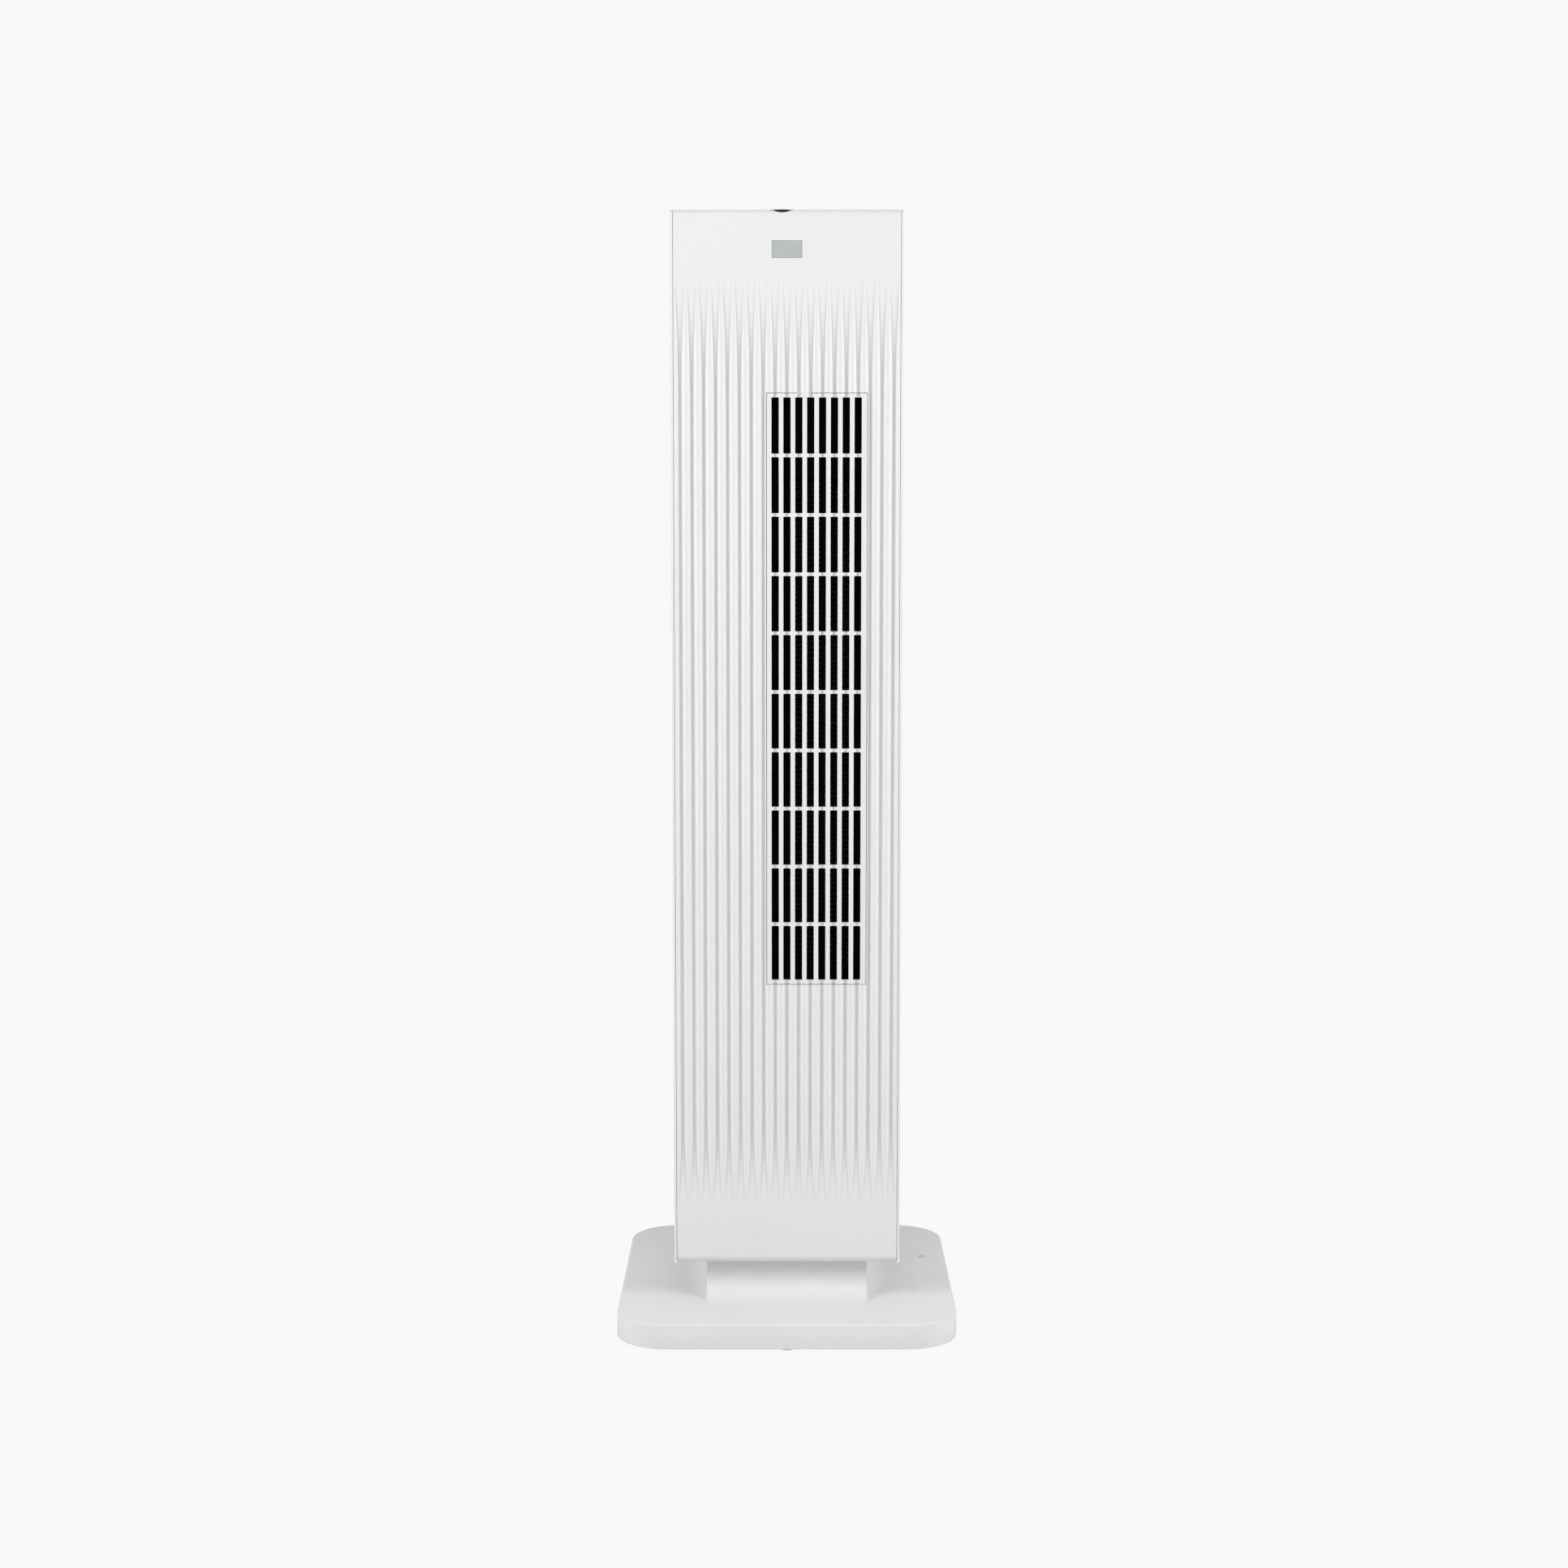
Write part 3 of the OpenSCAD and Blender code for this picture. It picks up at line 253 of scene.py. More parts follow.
def nylon():
    made = Shader("natural_nylon", roughness=0.45, Subsurface_Weight=0.05)
    made.colour(made.noise(25, 3), (0.60, 0.58, 0.51), (0.68, 0.66, 0.59))
    made.rough(made.noise(220, 3), 0.38, 0.54)
    made.bump(made.noise(900, 2), 0.02 * MM, 0.6)
    return made.material


def steel():
    """Zinc-plated steel, brushed along its length."""
    made = Shader("plated_steel", roughness=0.35, Metallic=1.0)
    streaks = made.noise(700, 4, (1, 1, 0.08))
    made.colour(streaks, grey(0.46), grey(0.60, 0.01))
    made.rough(streaks, 0.28, 0.46)
    made.bump(streaks, 0.01 * MM, 0.5)
    return made.material


def cast_iron():
    made = Shader("cast_iron", roughness=0.75, Metallic=0.6)
    made.colour(made.noise(120, 5), grey(0.035), grey(0.085, 0.05))
    made.rough(made.noise(200, 4), 0.6, 0.85)
    made.bump(made.noise(500, 5), 0.25 * MM, 0.8)
    return made.material


def bronze():
    made = Shader("sintered_bronze", roughness=0.5, Metallic=1.0)
    made.colour(made.noise(900, 4), (0.35, 0.20, 0.08), (0.58, 0.37, 0.16))
    made.rough(made.noise(700, 3), 0.4, 0.6)
    made.bump(made.noise(1800, 3), 0.03 * MM, 0.8)
    return made.material


def alloy_painted_shade():
    """The heating core's aluminium, dulled by heat, and painted nearly black: painted shade for the dark
    inside of the tower seen through the slots.
    """
    made = Shader("alloy_with_painted_shade", roughness=0.55, Metallic=0.7)
    # Nearly black colour: painted shade, not the alloy's own tone.
    made.colour(made.noise(70, 5, (1, 1, 0.3)), grey(0.014), grey(0.034, 0.02))
    made.rough(made.noise(400, 3), 0.45, 0.65)
    made.bump(made.noise(800, 3), 0.02 * MM, 0.5)
    return made.material


def filter_mesh():
    """Woven nylon mesh of the dust filter."""
    made = Shader("filter_mesh", roughness=0.7)
    weave = made.node("ShaderNodeTexWave", Scale=420)
    made.tree.links.new(made.coords, weave.inputs["Vector"])
    made.colour(weave.outputs["Fac"], grey(0.012), grey(0.045), 0.2, 0.8)
    made.rough(made.noise(500, 2), 0.6, 0.8)
    made.bump(weave.outputs["Fac"], 0.2 * MM, 0.7)
    return made.material


def floor_paper():
    """Pale paper on a light table: it glows to the eye, and the heater's shadow stays faint on it."""
    made = Shader("floor_paper", roughness=0.9, Specular_IOR_Level=0.1)
    made.colour(made.noise(3, 3), grey(0.84), grey(0.86))
    made.bump(made.noise(260, 3), 0.05 * MM, 0.2)
    glow = made.node("ShaderNodeEmission", Strength=BACKDROP * 1.01)
    seen = made.tree.nodes.new("ShaderNodeLightPath")
    share = made.node("ShaderNodeMapRange", To_Max=0.985)
    mix = made.tree.nodes.new("ShaderNodeMixShader")
    made.tree.links.new(seen.outputs["Is Camera Ray"], share.inputs["Value"])
    made.tree.links.new(share.outputs["Result"], mix.inputs["Fac"])
    made.tree.links.new(made.surface.outputs["BSDF"], mix.inputs[1])
    made.tree.links.new(glow.outputs["Emission"], mix.inputs[2])
    made.tree.links.new(mix.outputs["Shader"], made.tree.nodes["Material Output"].inputs["Surface"])
    return made.material


# ---------------------------------------------------------------- mesh helpers


def mesh_object(name, points, faces, material, smooth=30):
    data = bpy.data.meshes.new(name)
    data.from_pydata([tuple(p) for p in points], [], faces)
    work = bmesh.new()
    work.from_mesh(data)
    bmesh.ops.remove_doubles(work, verts=work.verts, dist=1e-6)
    bmesh.ops.recalc_face_normals(work, faces=work.faces)
    work.to_mesh(data)
    work.free()
    made = bpy.data.objects.new(name, data)
    bpy.context.collection.objects.link(made)
    data.materials.append(material)
    shade(made, smooth)
    return made


def shade(obj, degrees):
    """Smooth shading, with hard edges above the given angle."""
    obj.data.shade_smooth()
    obj.data.set_sharp_from_angle(angle=math.radians(degrees))


def place(obj, body, slot, *nodes):
    """Rides on a body and stands for CAD nodes, which it hides; slot is not used."""
    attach(obj, body)
    if nodes:
        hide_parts(*nodes)
    return obj


def bevel(obj, width):
    made = obj.modifiers.new("edge_round", "BEVEL")
    made.width = width
    made.segments = 2
    made.limit_method = "ANGLE"
    made.angle_limit = math.radians(40)
    made.harden_normals = False


def cylinder_mesh(at, radius, length, axis="Z", steps=96):
    """A closed cylinder's points and faces, centred on a point, along Z or Y."""
    turn = Matrix.Rotation(math.pi / 2, 4, "X") if axis == "Y" else Matrix()
    points = []
    for z in (-length / 2, length / 2):
        for i in range(steps):
            a = 2 * math.pi * i / steps
            points.append(Vector(at) + turn @ Vector((radius * math.cos(a), radius * math.sin(a), z)))
    faces = [[i, (i + 1) % steps, steps + (i + 1) % steps, steps + i] for i in range(steps)]
    return points, faces + [list(range(steps))[::-1], list(range(steps, 2 * steps))]


def block_mesh(low, high):
    (x0, y0, z0), (x1, y1, z1) = low, high
    points = [Vector((x, y, z)) for z in (z0, z1) for y in (y0, y1) for x in (x0, x1)]
    faces = [[0, 2, 3, 1], [4, 5, 7, 6], [0, 1, 5, 4], [2, 6, 7, 3], [0, 4, 6, 2], [1, 3, 7, 5]]
    return points, faces


def joined(*parts):
    """Several (points, faces) as one."""
    points, faces = [], []
    for more_points, more_faces in parts:
        faces += [[i + len(points) for i in f] for f in more_faces]
        points += list(more_points)
    return points, faces


def carve(obj, cutters):
    """Cuts closed meshes out of an object, and keeps only the result."""
    tool_mesh = bpy.data.meshes.new("cutter")
    points, faces = joined(*cutters)
    tool_mesh.from_pydata([tuple(p) for p in points], [], faces)
    tool = bpy.data.objects.new("cutter", tool_mesh)
    bpy.context.collection.objects.link(tool)
    made = obj.modifiers.new("carve", "BOOLEAN")
    made.object = tool
    made.operation = "DIFFERENCE"
    made.solver = "EXACT"
    bpy.context.view_layer.update()
    result = bpy.data.meshes.new_from_object(obj.evaluated_get(bpy.context.evaluated_depsgraph_get()))
    obj.modifiers.remove(made)
    old = obj.data
    obj.data = result
    bpy.data.meshes.remove(old)
    bpy.data.objects.remove(tool)
    bpy.data.meshes.remove(tool_mesh)


def thick_sheet(xs, rows, outer, inner, hole):
    """A closed sheet over a grid. outer and inner give a point for (x, row), and hole(x, row)
    says whether the cell that starts at (x, row) is open."""
    wide, tall = len(xs), len(rows)
    points = [outer(x, row) for row in rows for x in xs] + [inner(x, row) for row in rows for x in xs]
    back = wide * tall
    solid = [[not hole((xs[i] + xs[i + 1]) / 2, j) for i in range(wide - 1)] for j in range(tall - 1)]

    def filled(i, j):
        return 0 <= i < wide - 1 and 0 <= j < tall - 1 and solid[j][i]

    faces = []
    for j in range(tall - 1):
        for i in range(wide - 1):
            if not solid[j][i]:
                continue
            a, b, c, d = j * wide + i, j * wide + i + 1, (j + 1) * wide + i + 1, (j + 1) * wide + i
            twist = (points[a] + points[c] - points[b] - points[d]).length
            if twist < 1e-7:
                faces.append([a, b, c, d])
            elif abs(points[a].y - points[c].y) <= abs(points[b].y - points[d].y):
                faces += [[a, b, c], [a, c, d]]
            else:
                faces += [[a, b, d], [b, c, d]]
            faces.append([back + d, back + c, back + b, back + a])
            sides = ((a, b, i, j - 1), (b, c, i + 1, j), (c, d, i, j + 1), (d, a, i - 1, j))
            for p, q, beside, above in sides:
                if not filled(beside, above):
                    faces.append([q, p, back + p, back + q])
    return points, faces


def rounded_outline(half_x, half_y, radius):
    """Points round a rectangle with round corners, counter-clockwise from its right side."""
    corners = ((1, 1, 0), (-1, 1, 90), (-1, -1, 180), (1, -1, 270))
    points = []
    for k, (sx, sy, start) in enumerate(corners):
        middle = (sx * (half_x - radius), sy * (half_y - radius))
        for i in range(CORNER_STEPS + 1):
            a = math.radians(start + 90 * i / CORNER_STEPS)
            points.append((middle[0] + radius * math.cos(a), middle[1] + radius * math.sin(a)))
        nx, ny, turn = corners[(k + 1) % 4]
        a = math.radians(turn)
        goal = (nx * (half_x - radius) + radius * math.cos(a),
                ny * (half_y - radius) + radius * math.sin(a))
        last = points[-1]
        for i in range(1, SIDE_STEPS):
            t = i / SIDE_STEPS
            points.append((last[0] + (goal[0] - last[0]) * t, last[1] + (goal[1] - last[1]) * t))
    return points


def neck_outline(half_y, half_x, flare_r):
    """Points round the neck's plan: straight ends, and sides that are straight at half_x unless
    the flare's arc about a far axis is further out. They pair up with rounded_outline's."""
    side = CORNER_STEPS + SIDE_STEPS
    span = math.asin(half_y / flare_r)

    def reach(turn):
        return max(flare_r * math.cos(turn) - FLARE_X, half_x)

    end_x = reach(span)
    points = []
    for k in range(4 * side):
        part, step = divmod((k - CORNER_STEPS // 2) % (4 * side), side)
        t = step / side
        turn = span * (2 * t - 1)
        points.append([(end_x * (1 - 2 * t), half_y), (-reach(turn), -flare_r * math.sin(turn)),
                       (end_x * (2 * t - 1), -half_y), (reach(turn), flare_r * math.sin(turn))][part])
    return points


def skin(rings):
    """A closed skin over a list of rings, each an outline and its height; the last meets the first."""
    count = len(rings[0][0])
    points = [Vector((x, y, z)) for outline, z in rings for x, y in outline]
    faces = []
    for k in range(len(rings)):
        low, high = k * count, ((k + 1) % len(rings)) * count
        for i in range(count):
            n = (i + 1) % count
            faces.append([low + i, low + n, high + n, high + i])
    return points, faces


# ---------------------------------------------------------------- flutes


def flute_profile():
    """(offset, depth) pairs from a flute's middle to the end of its rounded lip."""
    arc_r = ((FLUTE_W / 2) ** 2 + FLUTE_DEEP**2) / (2 * FLUTE_DEEP)
    above = arc_r - FLUTE_DEEP
    lip_x = math.sqrt((arc_r + LIP_R) ** 2 - (LIP_R + above) ** 2)
    last = math.asin(lip_x / (arc_r + LIP_R))
    pairs = []
    for k in range(FLUTE_ARC_STEPS + 1):
        a = last * k / FLUTE_ARC_STEPS
        pairs.append((arc_r * math.sin(a), arc_r * math.cos(a) - above))
    for k in (1, 2, 3, 4):
        a = last * (1 - k / 4)
        pairs.append((lip_x - LIP_R * math.sin(a), LIP_R - LIP_R * math.cos(a)))
    return pairs


PROFILE = flute_profile()


def flute_depth(x, centres):
    """Depth of the nearest flute at x."""
    offset = min(abs(x - c) for c in centres)
    for (u0, d0), (u1, d1) in zip(PROFILE, PROFILE[1:]):
        if offset <= u1 + 1e-9:
            return d0 + (d1 - d0) * (offset - u0) / (u1 - u0)
    return 0.0


def flute_columns(centres):
    return [c + s * u for c in centres for u, _ in PROFILE for s in (-1, 1)]


def tidy_steps(values, low, high):
    """Sorted values inside a range, with the range's own ends and no near-duplicates."""
    kept = [low]
    for v in sorted(values):
        if v - kept[-1] > 0.02 * MM and high - v > 0.02 * MM:
            kept.append(v)
    return kept + [high]


def edge_drop(x, low, high):
    """How far a rounded side edge falls back from the face."""
    near = min(x - low, high - x)
    if near >= EDGE_R:
        return 0.0
    return EDGE_R - math.sqrt(max(EDGE_R**2 - (EDGE_R - near) ** 2, 0))


def edge_columns(low, high):
    steps = [EDGE_R * (1 - math.cos(math.radians(a))) for a in (0, 30, 60, 90)]
    return [low + s for s in steps] + [high - s for s in steps]


# ---------------------------------------------------------------- pieces


def front_shell(material):
    """The bent front panel: bottom return, fluted face and top return in one sheet."""
    low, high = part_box("front_panel")
    low.x, high.x = low.x + SIDE_GAP, high.x - SIDE_GAP
    slot_low, slot_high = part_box("outlet_grille")
    lens_low, lens_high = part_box("display_window")
    button_low, button_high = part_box("power_button")
    reach = FLANGE - GAP
    insert = (slot_low.x + reach, slot_high.x - reach, slot_low.z + reach, slot_high.z - reach)
    reach = LENS_FLANGE - LENS_GAP
    window = (lens_low.x + reach, lens_high.x - reach, lens_low.z + reach, lens_high.z - reach)
    centres = [(i - (FLUTE_COUNT - 1) / 2) * FLUTE_PITCH for i in range(FLUTE_COUNT)]
    ends = [low.z + e for e in FLUTE_ENDS]

    def floor_depth(z):
        """The flutes' floor rises to the face in a long curve at both ends."""
        lower = (z - ends[0]) / (ends[1] - ends[0])
        upper = (ends[3] - z) / (ends[3] - ends[2])
        return FLUTE_DEEP * math.sin(math.pi / 2 * max(0.0, min(lower, upper, 1.0)))

    levels = []
    for share in sorted({depth / FLUTE_DEEP for _, depth in PROFILE}.union(RUN_OUT_SHARES)):
        t = math.asin(min(share, 1.0)) / (math.pi / 2)
        levels += [ends[0] + (ends[1] - ends[0]) * t, ends[3] - (ends[3] - ends[2]) * t]
    face_z = tidy_steps(levels + list(insert[2:]) + list(window[2:]), low.z + BEND_R, high.z - BEND_R)
    columns = edge_columns(low.x, high.x) + flute_columns(centres) + list(insert[:2]) + list(window[:2])
    xs = tidy_steps(columns, low.x, high.x)

    # Each row: outer (y, z), outward direction (y, z) and wall thickness
    bends = [math.radians(90 * i / 8) for i in range(9)]
    rows = [((high.y, low.z), (0, -1), WALL), ((0.0, low.z), (0, -1), WALL)]
    mid_y = low.y + BEND_R
    for a in bends:
        out = (-math.sin(a), -math.cos(a))
        thick = WALL + (FRONT_T - WALL) * math.sin(a)
        rows.append(((mid_y + BEND_R * out[0], low.z + BEND_R + BEND_R * out[1]), out, thick))
    rows += [((low.y, z), (-1, 0), FRONT_T) for z in face_z[1:-1]]
    for a in reversed(bends):
        out = (-math.sin(a), math.cos(a))
        thick = WALL + (FRONT_T - WALL) * math.sin(a)
        rows.append(((mid_y + BEND_R * out[0], high.z - BEND_R + BEND_R * out[1]), out, thick))
    rows += [((0.0, high.z), (0, 1), WALL), ((high.y, high.z), (0, 1), WALL)]

    def outer(x, row):
        (y, z), out, _ = row
        back = edge_drop(x, low.x, high.x)
        if out == (-1, 0):
            back += min(flute_depth(x, centres), floor_depth(z))
        return Vector((x, y - out[0] * back, z - out[1] * back))

    def inner(x, row):
        (y, z), out, thick = row
        return Vector((x, y - out[0] * thick, z - out[1] * thick))

    def hole(x, j):
        if rows[j][1] != (-1, 0) or rows[j + 1][1] != (-1, 0):
            return False
        z = (rows[j][0][1] + rows[j + 1][0][1]) / 2
        return any(x0 < x < x1 and z0 < z < z1 for x0, x1, z0, z1 in (insert, window))

    points, faces = thick_sheet(xs, rows, outer, inner, hole)
    made = mesh_object("front_shell", points, faces, material, smooth=32)
    middle = (button_low + button_high) / 2
    recess_r = (button_high.x - button_low.x) / 2 + 0.3 * MM
    carve(made, [cylinder_mesh((middle.x, middle.y, high.z - 3 * MM), recess_r, BORE)])
    shade(made, 32)
    return place(made, "tower", "white_shell", "front_panel")


def grille(material):
    """The outlet insert: flutes carry on over its cross bars, and a slot fills each cell."""
    low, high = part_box("outlet_grille")
    x0, x1, z0, z1 = low.x + FLANGE, high.x - FLANGE, low.z + FLANGE, high.z - FLANGE
    back_y = low.y + FRONT_T + 0.1 * MM
    mid_x, mid_z = (x0 + x1) / 2, (z0 + z1) / 2
    centres = [(i - 1) * FLUTE_PITCH for i in range(SLOT_COLUMNS)]
    spans = [mid_z + (j - (SLOT_ROWS - 1) / 2) * SLOT_PITCH for j in range(SLOT_ROWS)]
    xs = tidy_steps(edge_columns(x0, x1) + flute_columns(centres), x0, x1)
    bar_edges = [z + s * (SLOT_H / 2 + e * MM) for z in spans for s in (-1, 1) for e in (0, 0.1, 0.25)]
    rows = tidy_steps(edge_columns(z0, z1) + bar_edges, z0, z1)

    def bar_drop(z):
        """The slots' ends are eased where they meet the cross bars."""
        near = min(abs(abs(z - mid) - SLOT_H / 2) for mid in spans)
        return 0.14 * MM * max(0.0, 1 - near / SLOT_EASE) ** 2

    def outer(x, z):
        back = edge_drop(x, x0, x1) + edge_drop(z, z0, z1) + flute_depth(x, centres)
        if min(abs(x - c) for c in centres) < SLOT_W / 2 + 1e-6:
            back += bar_drop(z)
        return Vector((x, low.y + back, z))

    def inner(x, z):
        return Vector((x, back_y, z))

    def hole(x, j):
        z = (rows[j] + rows[j + 1]) / 2
        return (min(abs(x - c) for c in centres) < SLOT_W / 2
                and min(abs(z - mid) for mid in spans) < SLOT_H / 2)

    sheet = thick_sheet(xs, rows, outer, inner, hole)
    lap_x, lap_z = 0.6 * MM, 0.8 * MM
    frame_parts = [
        block_mesh((low.x, back_y, low.z), (x0 + lap_x, high.y, high.z)),
        block_mesh((x1 - lap_x, back_y, low.z), (high.x, high.y, high.z)),
        block_mesh((x0 + lap_x, back_y, low.z), (x1 - lap_x, high.y, z0 + lap_z)),
        block_mesh((x0 + lap_x, back_y, z1 - lap_z), (x1 - lap_x, high.y, high.z)),
    ]
    for (left, right), sunk in ((TAB, 1.7 * MM), (TAB_RIB, 0.1 * MM)):
        corners = (mid_x + left, low.y + sunk, z1 - lap_x), (mid_x + right, back_y, z1 + GAP)
        frame_parts.append(block_mesh(*corners))
    points, faces = joined(sheet, *frame_parts)
    made = mesh_object("outlet_bars", points, faces, material, smooth=32)
    return place(made, "tower", "white_shell", "outlet_grille")


def base_shell(material):
    """The base's cover: slab, coved neck and deck, as one closed skin."""
    low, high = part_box("base_cover")
    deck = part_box("neck_cover")[1].z
    lens_low, lens_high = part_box("indicator_lens")
    gland_low, gland_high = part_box("cord_gland")
    half_x, half_y, corner, top = high.x, high.y, 36 * MM, high.z
    rise, edge, draft = deck - top, 1.7 * MM, 0.2 * MM
    rings = [(rounded_outline(half_x - back, half_y - back, corner - back), low.z + up)
             for back, up in ((0.7 * MM, 0), (0.2 * MM, 0.2 * MM), (0, 0.7 * MM))]
    for i in range(9):
        a = math.radians(90 * i / 8)
        back = draft + edge * (1 - math.cos(a))
        outline = rounded_outline(half_x - back, half_y - back, corner - back)
        rings.append((outline, top - edge + edge * math.sin(a)))
    for i in range(NECK_STEPS + 1):
        a = math.radians(90 * (1 - i / NECK_STEPS))
        up = rise * (1 - math.sin(a))
        short = max(1 - up / FLARE_H, 0)
        flare_r = FLARE_X + NECK_FOOT[0] - FLARE_W * math.sqrt(1 - short**2)
        rings.append((neck_outline(NECK_FOOT[1] - rise * math.cos(a), NECK_X, flare_r), top + up))
    ring_hole, groove, groove_in, post = 32.1 * MM, 1.4 * MM, 21.9 * MM, 15.1 * MM
    inside = [(ring_hole, deck), (ring_hole, deck - groove), (groove_in, deck - groove),
              (groove_in, deck), (post, deck), (post, deck - 4 * MM)]
    rings += [(rounded_outline(r, r, r), z) for r, z in inside]
    shaft = neck_outline(SHAFT[1], SHAFT[0], FLARE_X)
    side, roof = 3 * MM, top - 2.8 * MM
    well = rounded_outline(half_x - side, half_y - side, corner - side)
    rings += [(shaft, deck - 4 * MM), (shaft, roof), (well, roof), (well, low.z)]
    made = mesh_object("base_shell", *skin(rings), material, smooth=28)
    lens, gland = (lens_low + lens_high) / 2, (gland_low + gland_high) / 2
    lens_r, gland_r = 2.55 * MM, 5.3 * MM
    carve(made, [cylinder_mesh((lens.x, lens.y, top), lens_r, BORE, steps=48),
                 cylinder_mesh((gland.x, half_y, gland.z), gland_r, BORE, "Y", steps=64)])
    shade(made, 28)
    return place(made, "base", "white_shell", "base_cover", "neck_cover")


def lathe(profile, at, steps=96):
    """Turns (radius, z) pairs round a vertical axis; the ends lie on the axis."""
    points, faces = [], []
    for r, z in profile:
        for i in range(steps):
            a = 2 * math.pi * i / steps
            points.append(Vector((at[0] + r * math.cos(a), at[1] + r * math.sin(a), z)))
    for k in range(len(profile) - 1):
        for i in range(steps):
            n = (i + 1) % steps
            faces.append([k * steps + i, k * steps + n, (k + 1) * steps + n, (k + 1) * steps + i])
    return points, faces


def button_cap(material):
    """The round power button: an eased rim round a faintly dished top, over its stem."""
    low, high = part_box("power_button")
    at = ((low.x + high.x) / 2, (low.y + high.y) / 2)
    rim, dish, ease = (high.x - low.x) / 2, 0.35 * MM, 0.4 * MM
    skirt, stem, chamfer, centre = high.z - 5 * MM, 3 * MM, 0.2 * MM, 1e-7
    profile = [(centre, low.z), (stem, low.z), (stem, skirt),
               (rim - chamfer, skirt), (rim, skirt + chamfer)]
    for i in range(7):
        a = math.radians(90 * i / 6)
        profile.append((rim - ease + ease * math.cos(a), high.z - ease + ease * math.sin(a)))
    inner = rim - 1.4 * MM
    for i in range(11):
        t = i / 10
        profile.append((max(inner * (1 - t), centre), high.z - dish * (1 - (1 - t) ** 2)))
    points, faces = lathe(profile, at)
    made = mesh_object("button_cap", points, faces, material, smooth=28)
    return place(made, "button", "black_gloss", "power_button")


def button_mark(material):
    """A plain power mark on the button: an open ring with a bar in its gap."""
    low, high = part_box("power_button")
    at = ((low.x + high.x) / 2, (low.y + high.y) / 2)
    z0, z1 = high.z - 0.45 * MM, high.z - 0.22 * MM
    radius, wide, gap, steps = 3.4 * MM, 0.35 * MM, math.radians(36), 40
    points, faces = [], []
    for i in range(steps + 1):
        a = math.pi / 2 + gap + (2 * math.pi - 2 * gap) * i / steps
        for r in (radius - wide, radius + wide):
            for z in (z0, z1):
                points.append(Vector((at[0] + r * math.cos(a), at[1] + r * math.sin(a), z)))
    for i in range(steps):
        b = 4 * i
        faces += [[b, b + 4, b + 5, b + 1], [b + 2, b + 3, b + 7, b + 6],
                  [b + 1, b + 5, b + 7, b + 3], [b, b + 2, b + 6, b + 4]]
    faces += [[0, 1, 3, 2], [4 * steps, 4 * steps + 2, 4 * steps + 3, 4 * steps + 1]]
    bar_y = (at[1] + 1.2 * MM, at[1] + 4.4 * MM)
    bar = block_mesh((at[0] - wide, bar_y[0], z0), (at[0] + wide, bar_y[1], z1))
    points, faces = joined((points, faces), bar)
    return place(mesh_object("button_mark", points, faces, material), "button", "window_lens")


# ---------------------------------------------------------------- CAD nodes that stay


def dress_nodes(looks):
    """Gives every remaining CAD node its material, by its slot in the record."""
    slots = {part["node"]: part["material_slot"] for part in frame["record"]["subparts"]}
    # The core's frame, bars and blower wheel take core_black, and the fins take the fin_alloy slot: both
    # colours carry painted shade for the tower's dark inside.
    special = {"dust_filter": "filter_mesh", "indicator_lens": "lamp_lens", "heater_frame": "core_black",
               "heater_bars": "core_black", "blower_wheel": "core_black"}
    for node, obj in frame["nodes"].items():
        look = looks[special.get(node, slots[node])]
        obj.data.materials.clear()
        obj.data.materials.append(look)
        for polygon in obj.data.polygons:
            polygon.material_index = 0


def soften_edges():
    """Rounds the moulded edges of the shells that keep their CAD mesh."""
    widths = {"left_side_panel": 0.6, "right_side_panel": 0.6, "rear_panel": 0.4, "handle_cup": 0.6,
              "inlet_cover": 0.25, "switch_housing": 0.4, "switch_rocker": 0.3, "base_plate": 0.4,
              "rubber_feet": 0.4, "indicator_lens": 0.2}
    for node, width in widths.items():
        bevel(frame["nodes"][node], width * MM)


# ---------------------------------------------------------------- stage


def stage_floor(material):
    points = [Vector((x, y, 0)) for x, y in ((-12, -8), (12, -8), (12, 14), (-12, 14))]
    made = mesh_object("floor", points, [[0, 1, 2, 3]], material)


def area_light(name, at, aim, size, power):
    data = bpy.data.lights.new(name, "AREA")
    data.shape = "RECTANGLE"
    data.size, data.size_y = size
    data.energy = power
    made = bpy.data.objects.new(name, data)
    made.location = at
    made.rotation_euler = (Vector(aim) - Vector(at)).to_track_quat("-Z", "Y").to_euler()
    bpy.context.collection.objects.link(made)


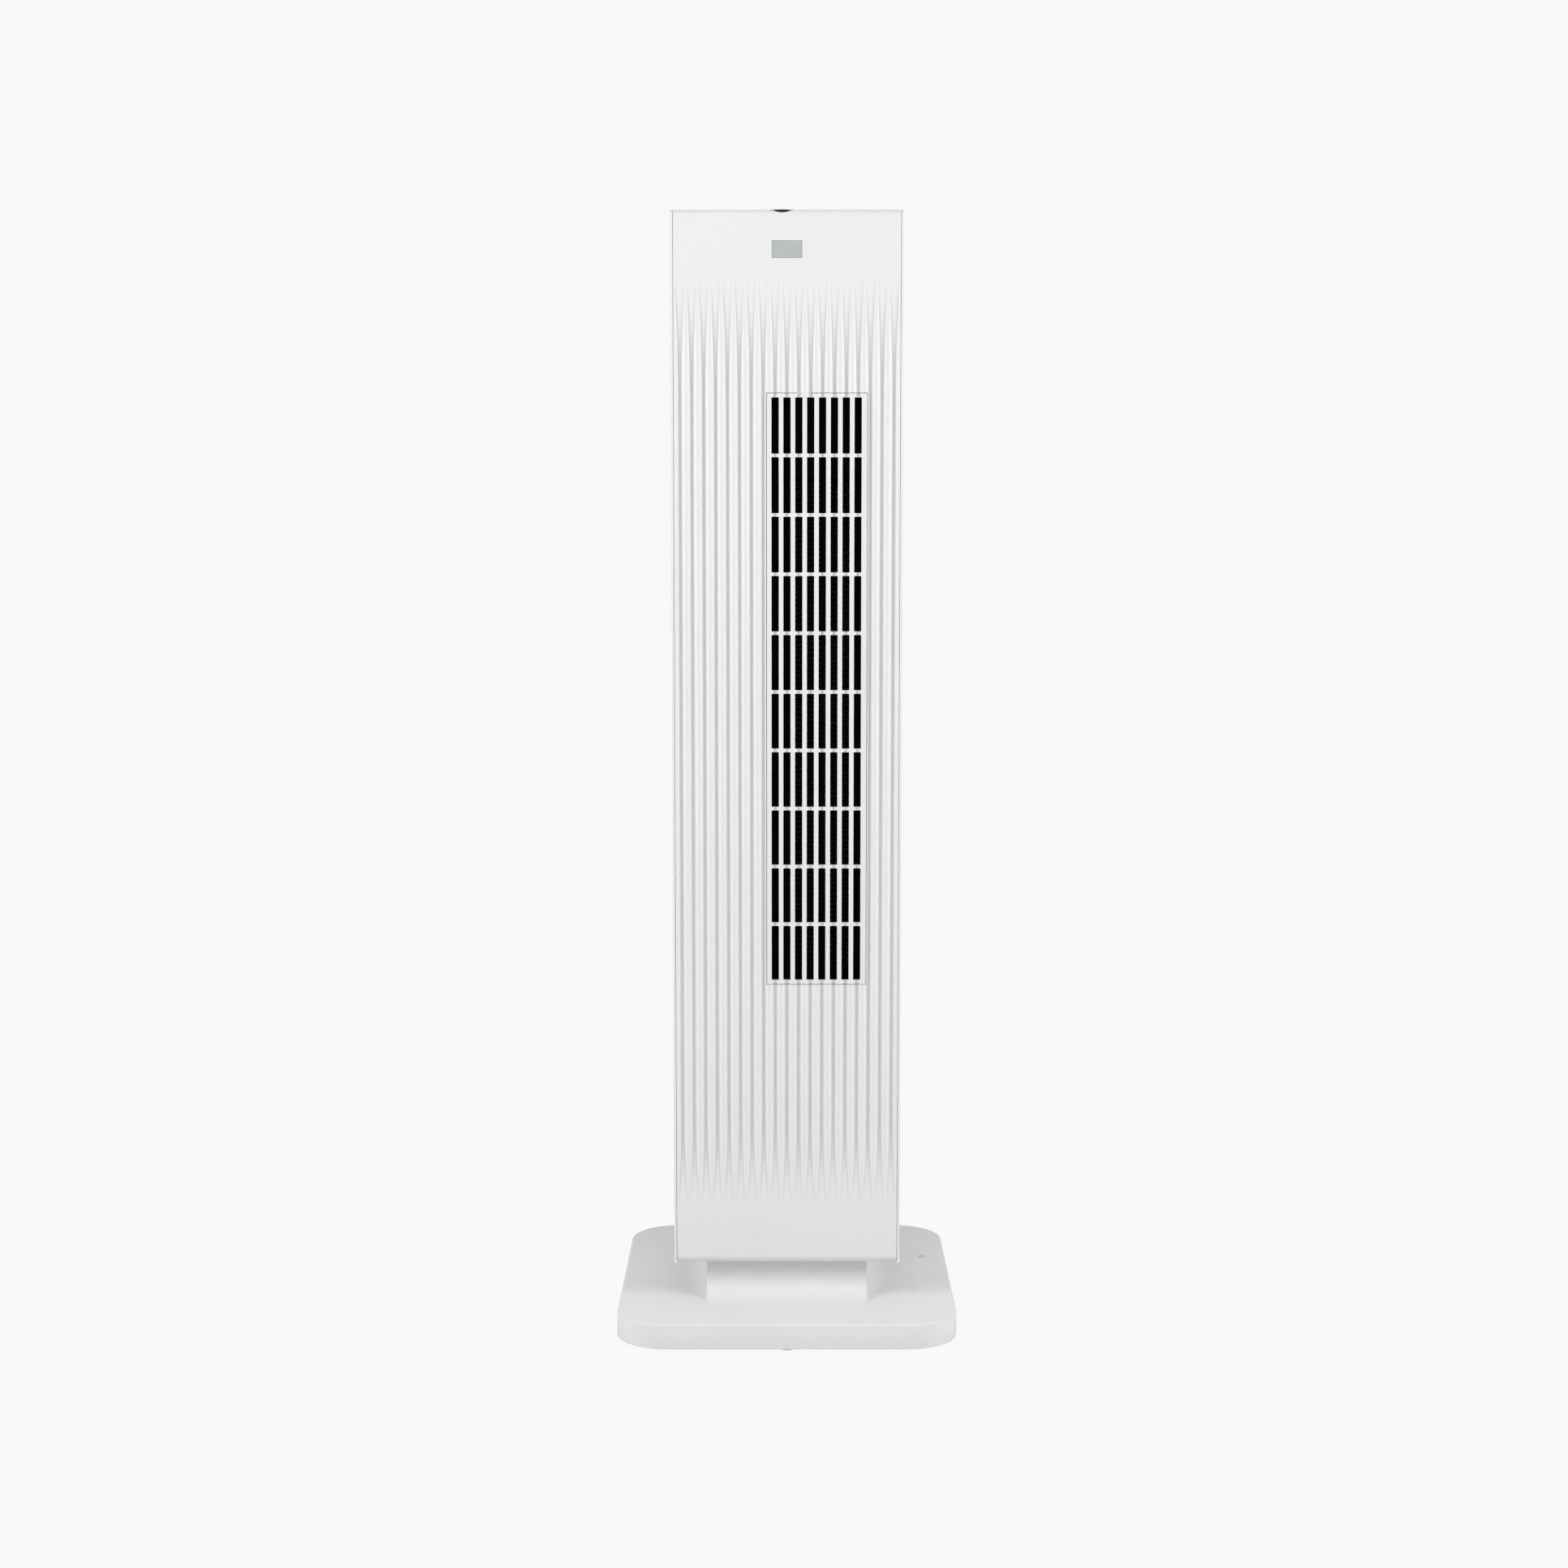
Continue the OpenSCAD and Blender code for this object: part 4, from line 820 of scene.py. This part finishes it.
def studio_world():
    """A pale backdrop, and softer light from it than its own brightness."""
    world = bpy.data.worlds.new("studio")
    world.use_nodes = True
    tree = world.node_tree
    ambient = tree.nodes["Background"]
    ambient.inputs["Color"].default_value = (1, 1, 1, 1)
    ambient.inputs["Strength"].default_value = AMBIENT
    backdrop = tree.nodes.new("ShaderNodeBackground")
    backdrop.inputs["Color"].default_value = (1, 1, 1, 1)
    backdrop.inputs["Strength"].default_value = BACKDROP
    seen = tree.nodes.new("ShaderNodeLightPath")
    mix = tree.nodes.new("ShaderNodeMixShader")
    tree.links.new(seen.outputs["Is Camera Ray"], mix.inputs["Fac"])
    tree.links.new(ambient.outputs["Background"], mix.inputs[1])
    tree.links.new(backdrop.outputs["Background"], mix.inputs[2])
    tree.links.new(mix.outputs["Shader"], tree.nodes["World Output"].inputs["Surface"])
    bpy.context.scene.world = world


def studio():
    studio_world()
    scene = bpy.context.scene
    scene.view_settings.view_transform = "Standard"
    for side in (-1, 1):
        area_light(f"front_{side}", (side * 1.2, -0.72, 1.0), (0, -0.07, 1.0), (0.6, 1.2), 15.5)
        area_light(f"back_{side}", (side * 0.5, 1.8, 0.5), (0, 0.05, 0.45), (0.8, 0.5), 2.5)
    area_light("above", (0, 0.2, 2.6), (0, 0.2, 0), (1.6, 1.6), 3.6)
    camera = bpy.data.objects.new("camera", bpy.data.cameras.new("camera"))
    camera.data.lens = CAMERA_LENS
    camera.data.sensor_width = 36
    camera.location = CAMERA_AT
    camera.rotation_euler = (math.pi / 2 - CAMERA_TILT, 0, 0)
    bpy.context.collection.objects.link(camera)
    scene.camera = camera


studio()
looks = {
    "white_shell": white_plastic(),
    "black_plastic": black_plastic(),
    "core_black": core_black(),
    "black_gloss": black_gloss(),
    "window_lens": smoked_lens(),
    "lamp_lens": lamp_lens(),
    "circuit_board": circuit_board(),
    "black_rubber": rubber(),
    "white_nylon": nylon(),
    "steel": steel(),
    "iron_weight": cast_iron(),
    "bronze": bronze(),
    "fin_alloy": alloy_painted_shade(),
    "filter_mesh": filter_mesh(),
}
dress_nodes(looks)
soften_edges()
front_shell(looks["white_shell"])
grille(looks["white_shell"])
base_shell(looks["white_shell"])
button_cap(looks["black_gloss"])
button_mark(looks["window_lens"])
stage_floor(floor_paper())
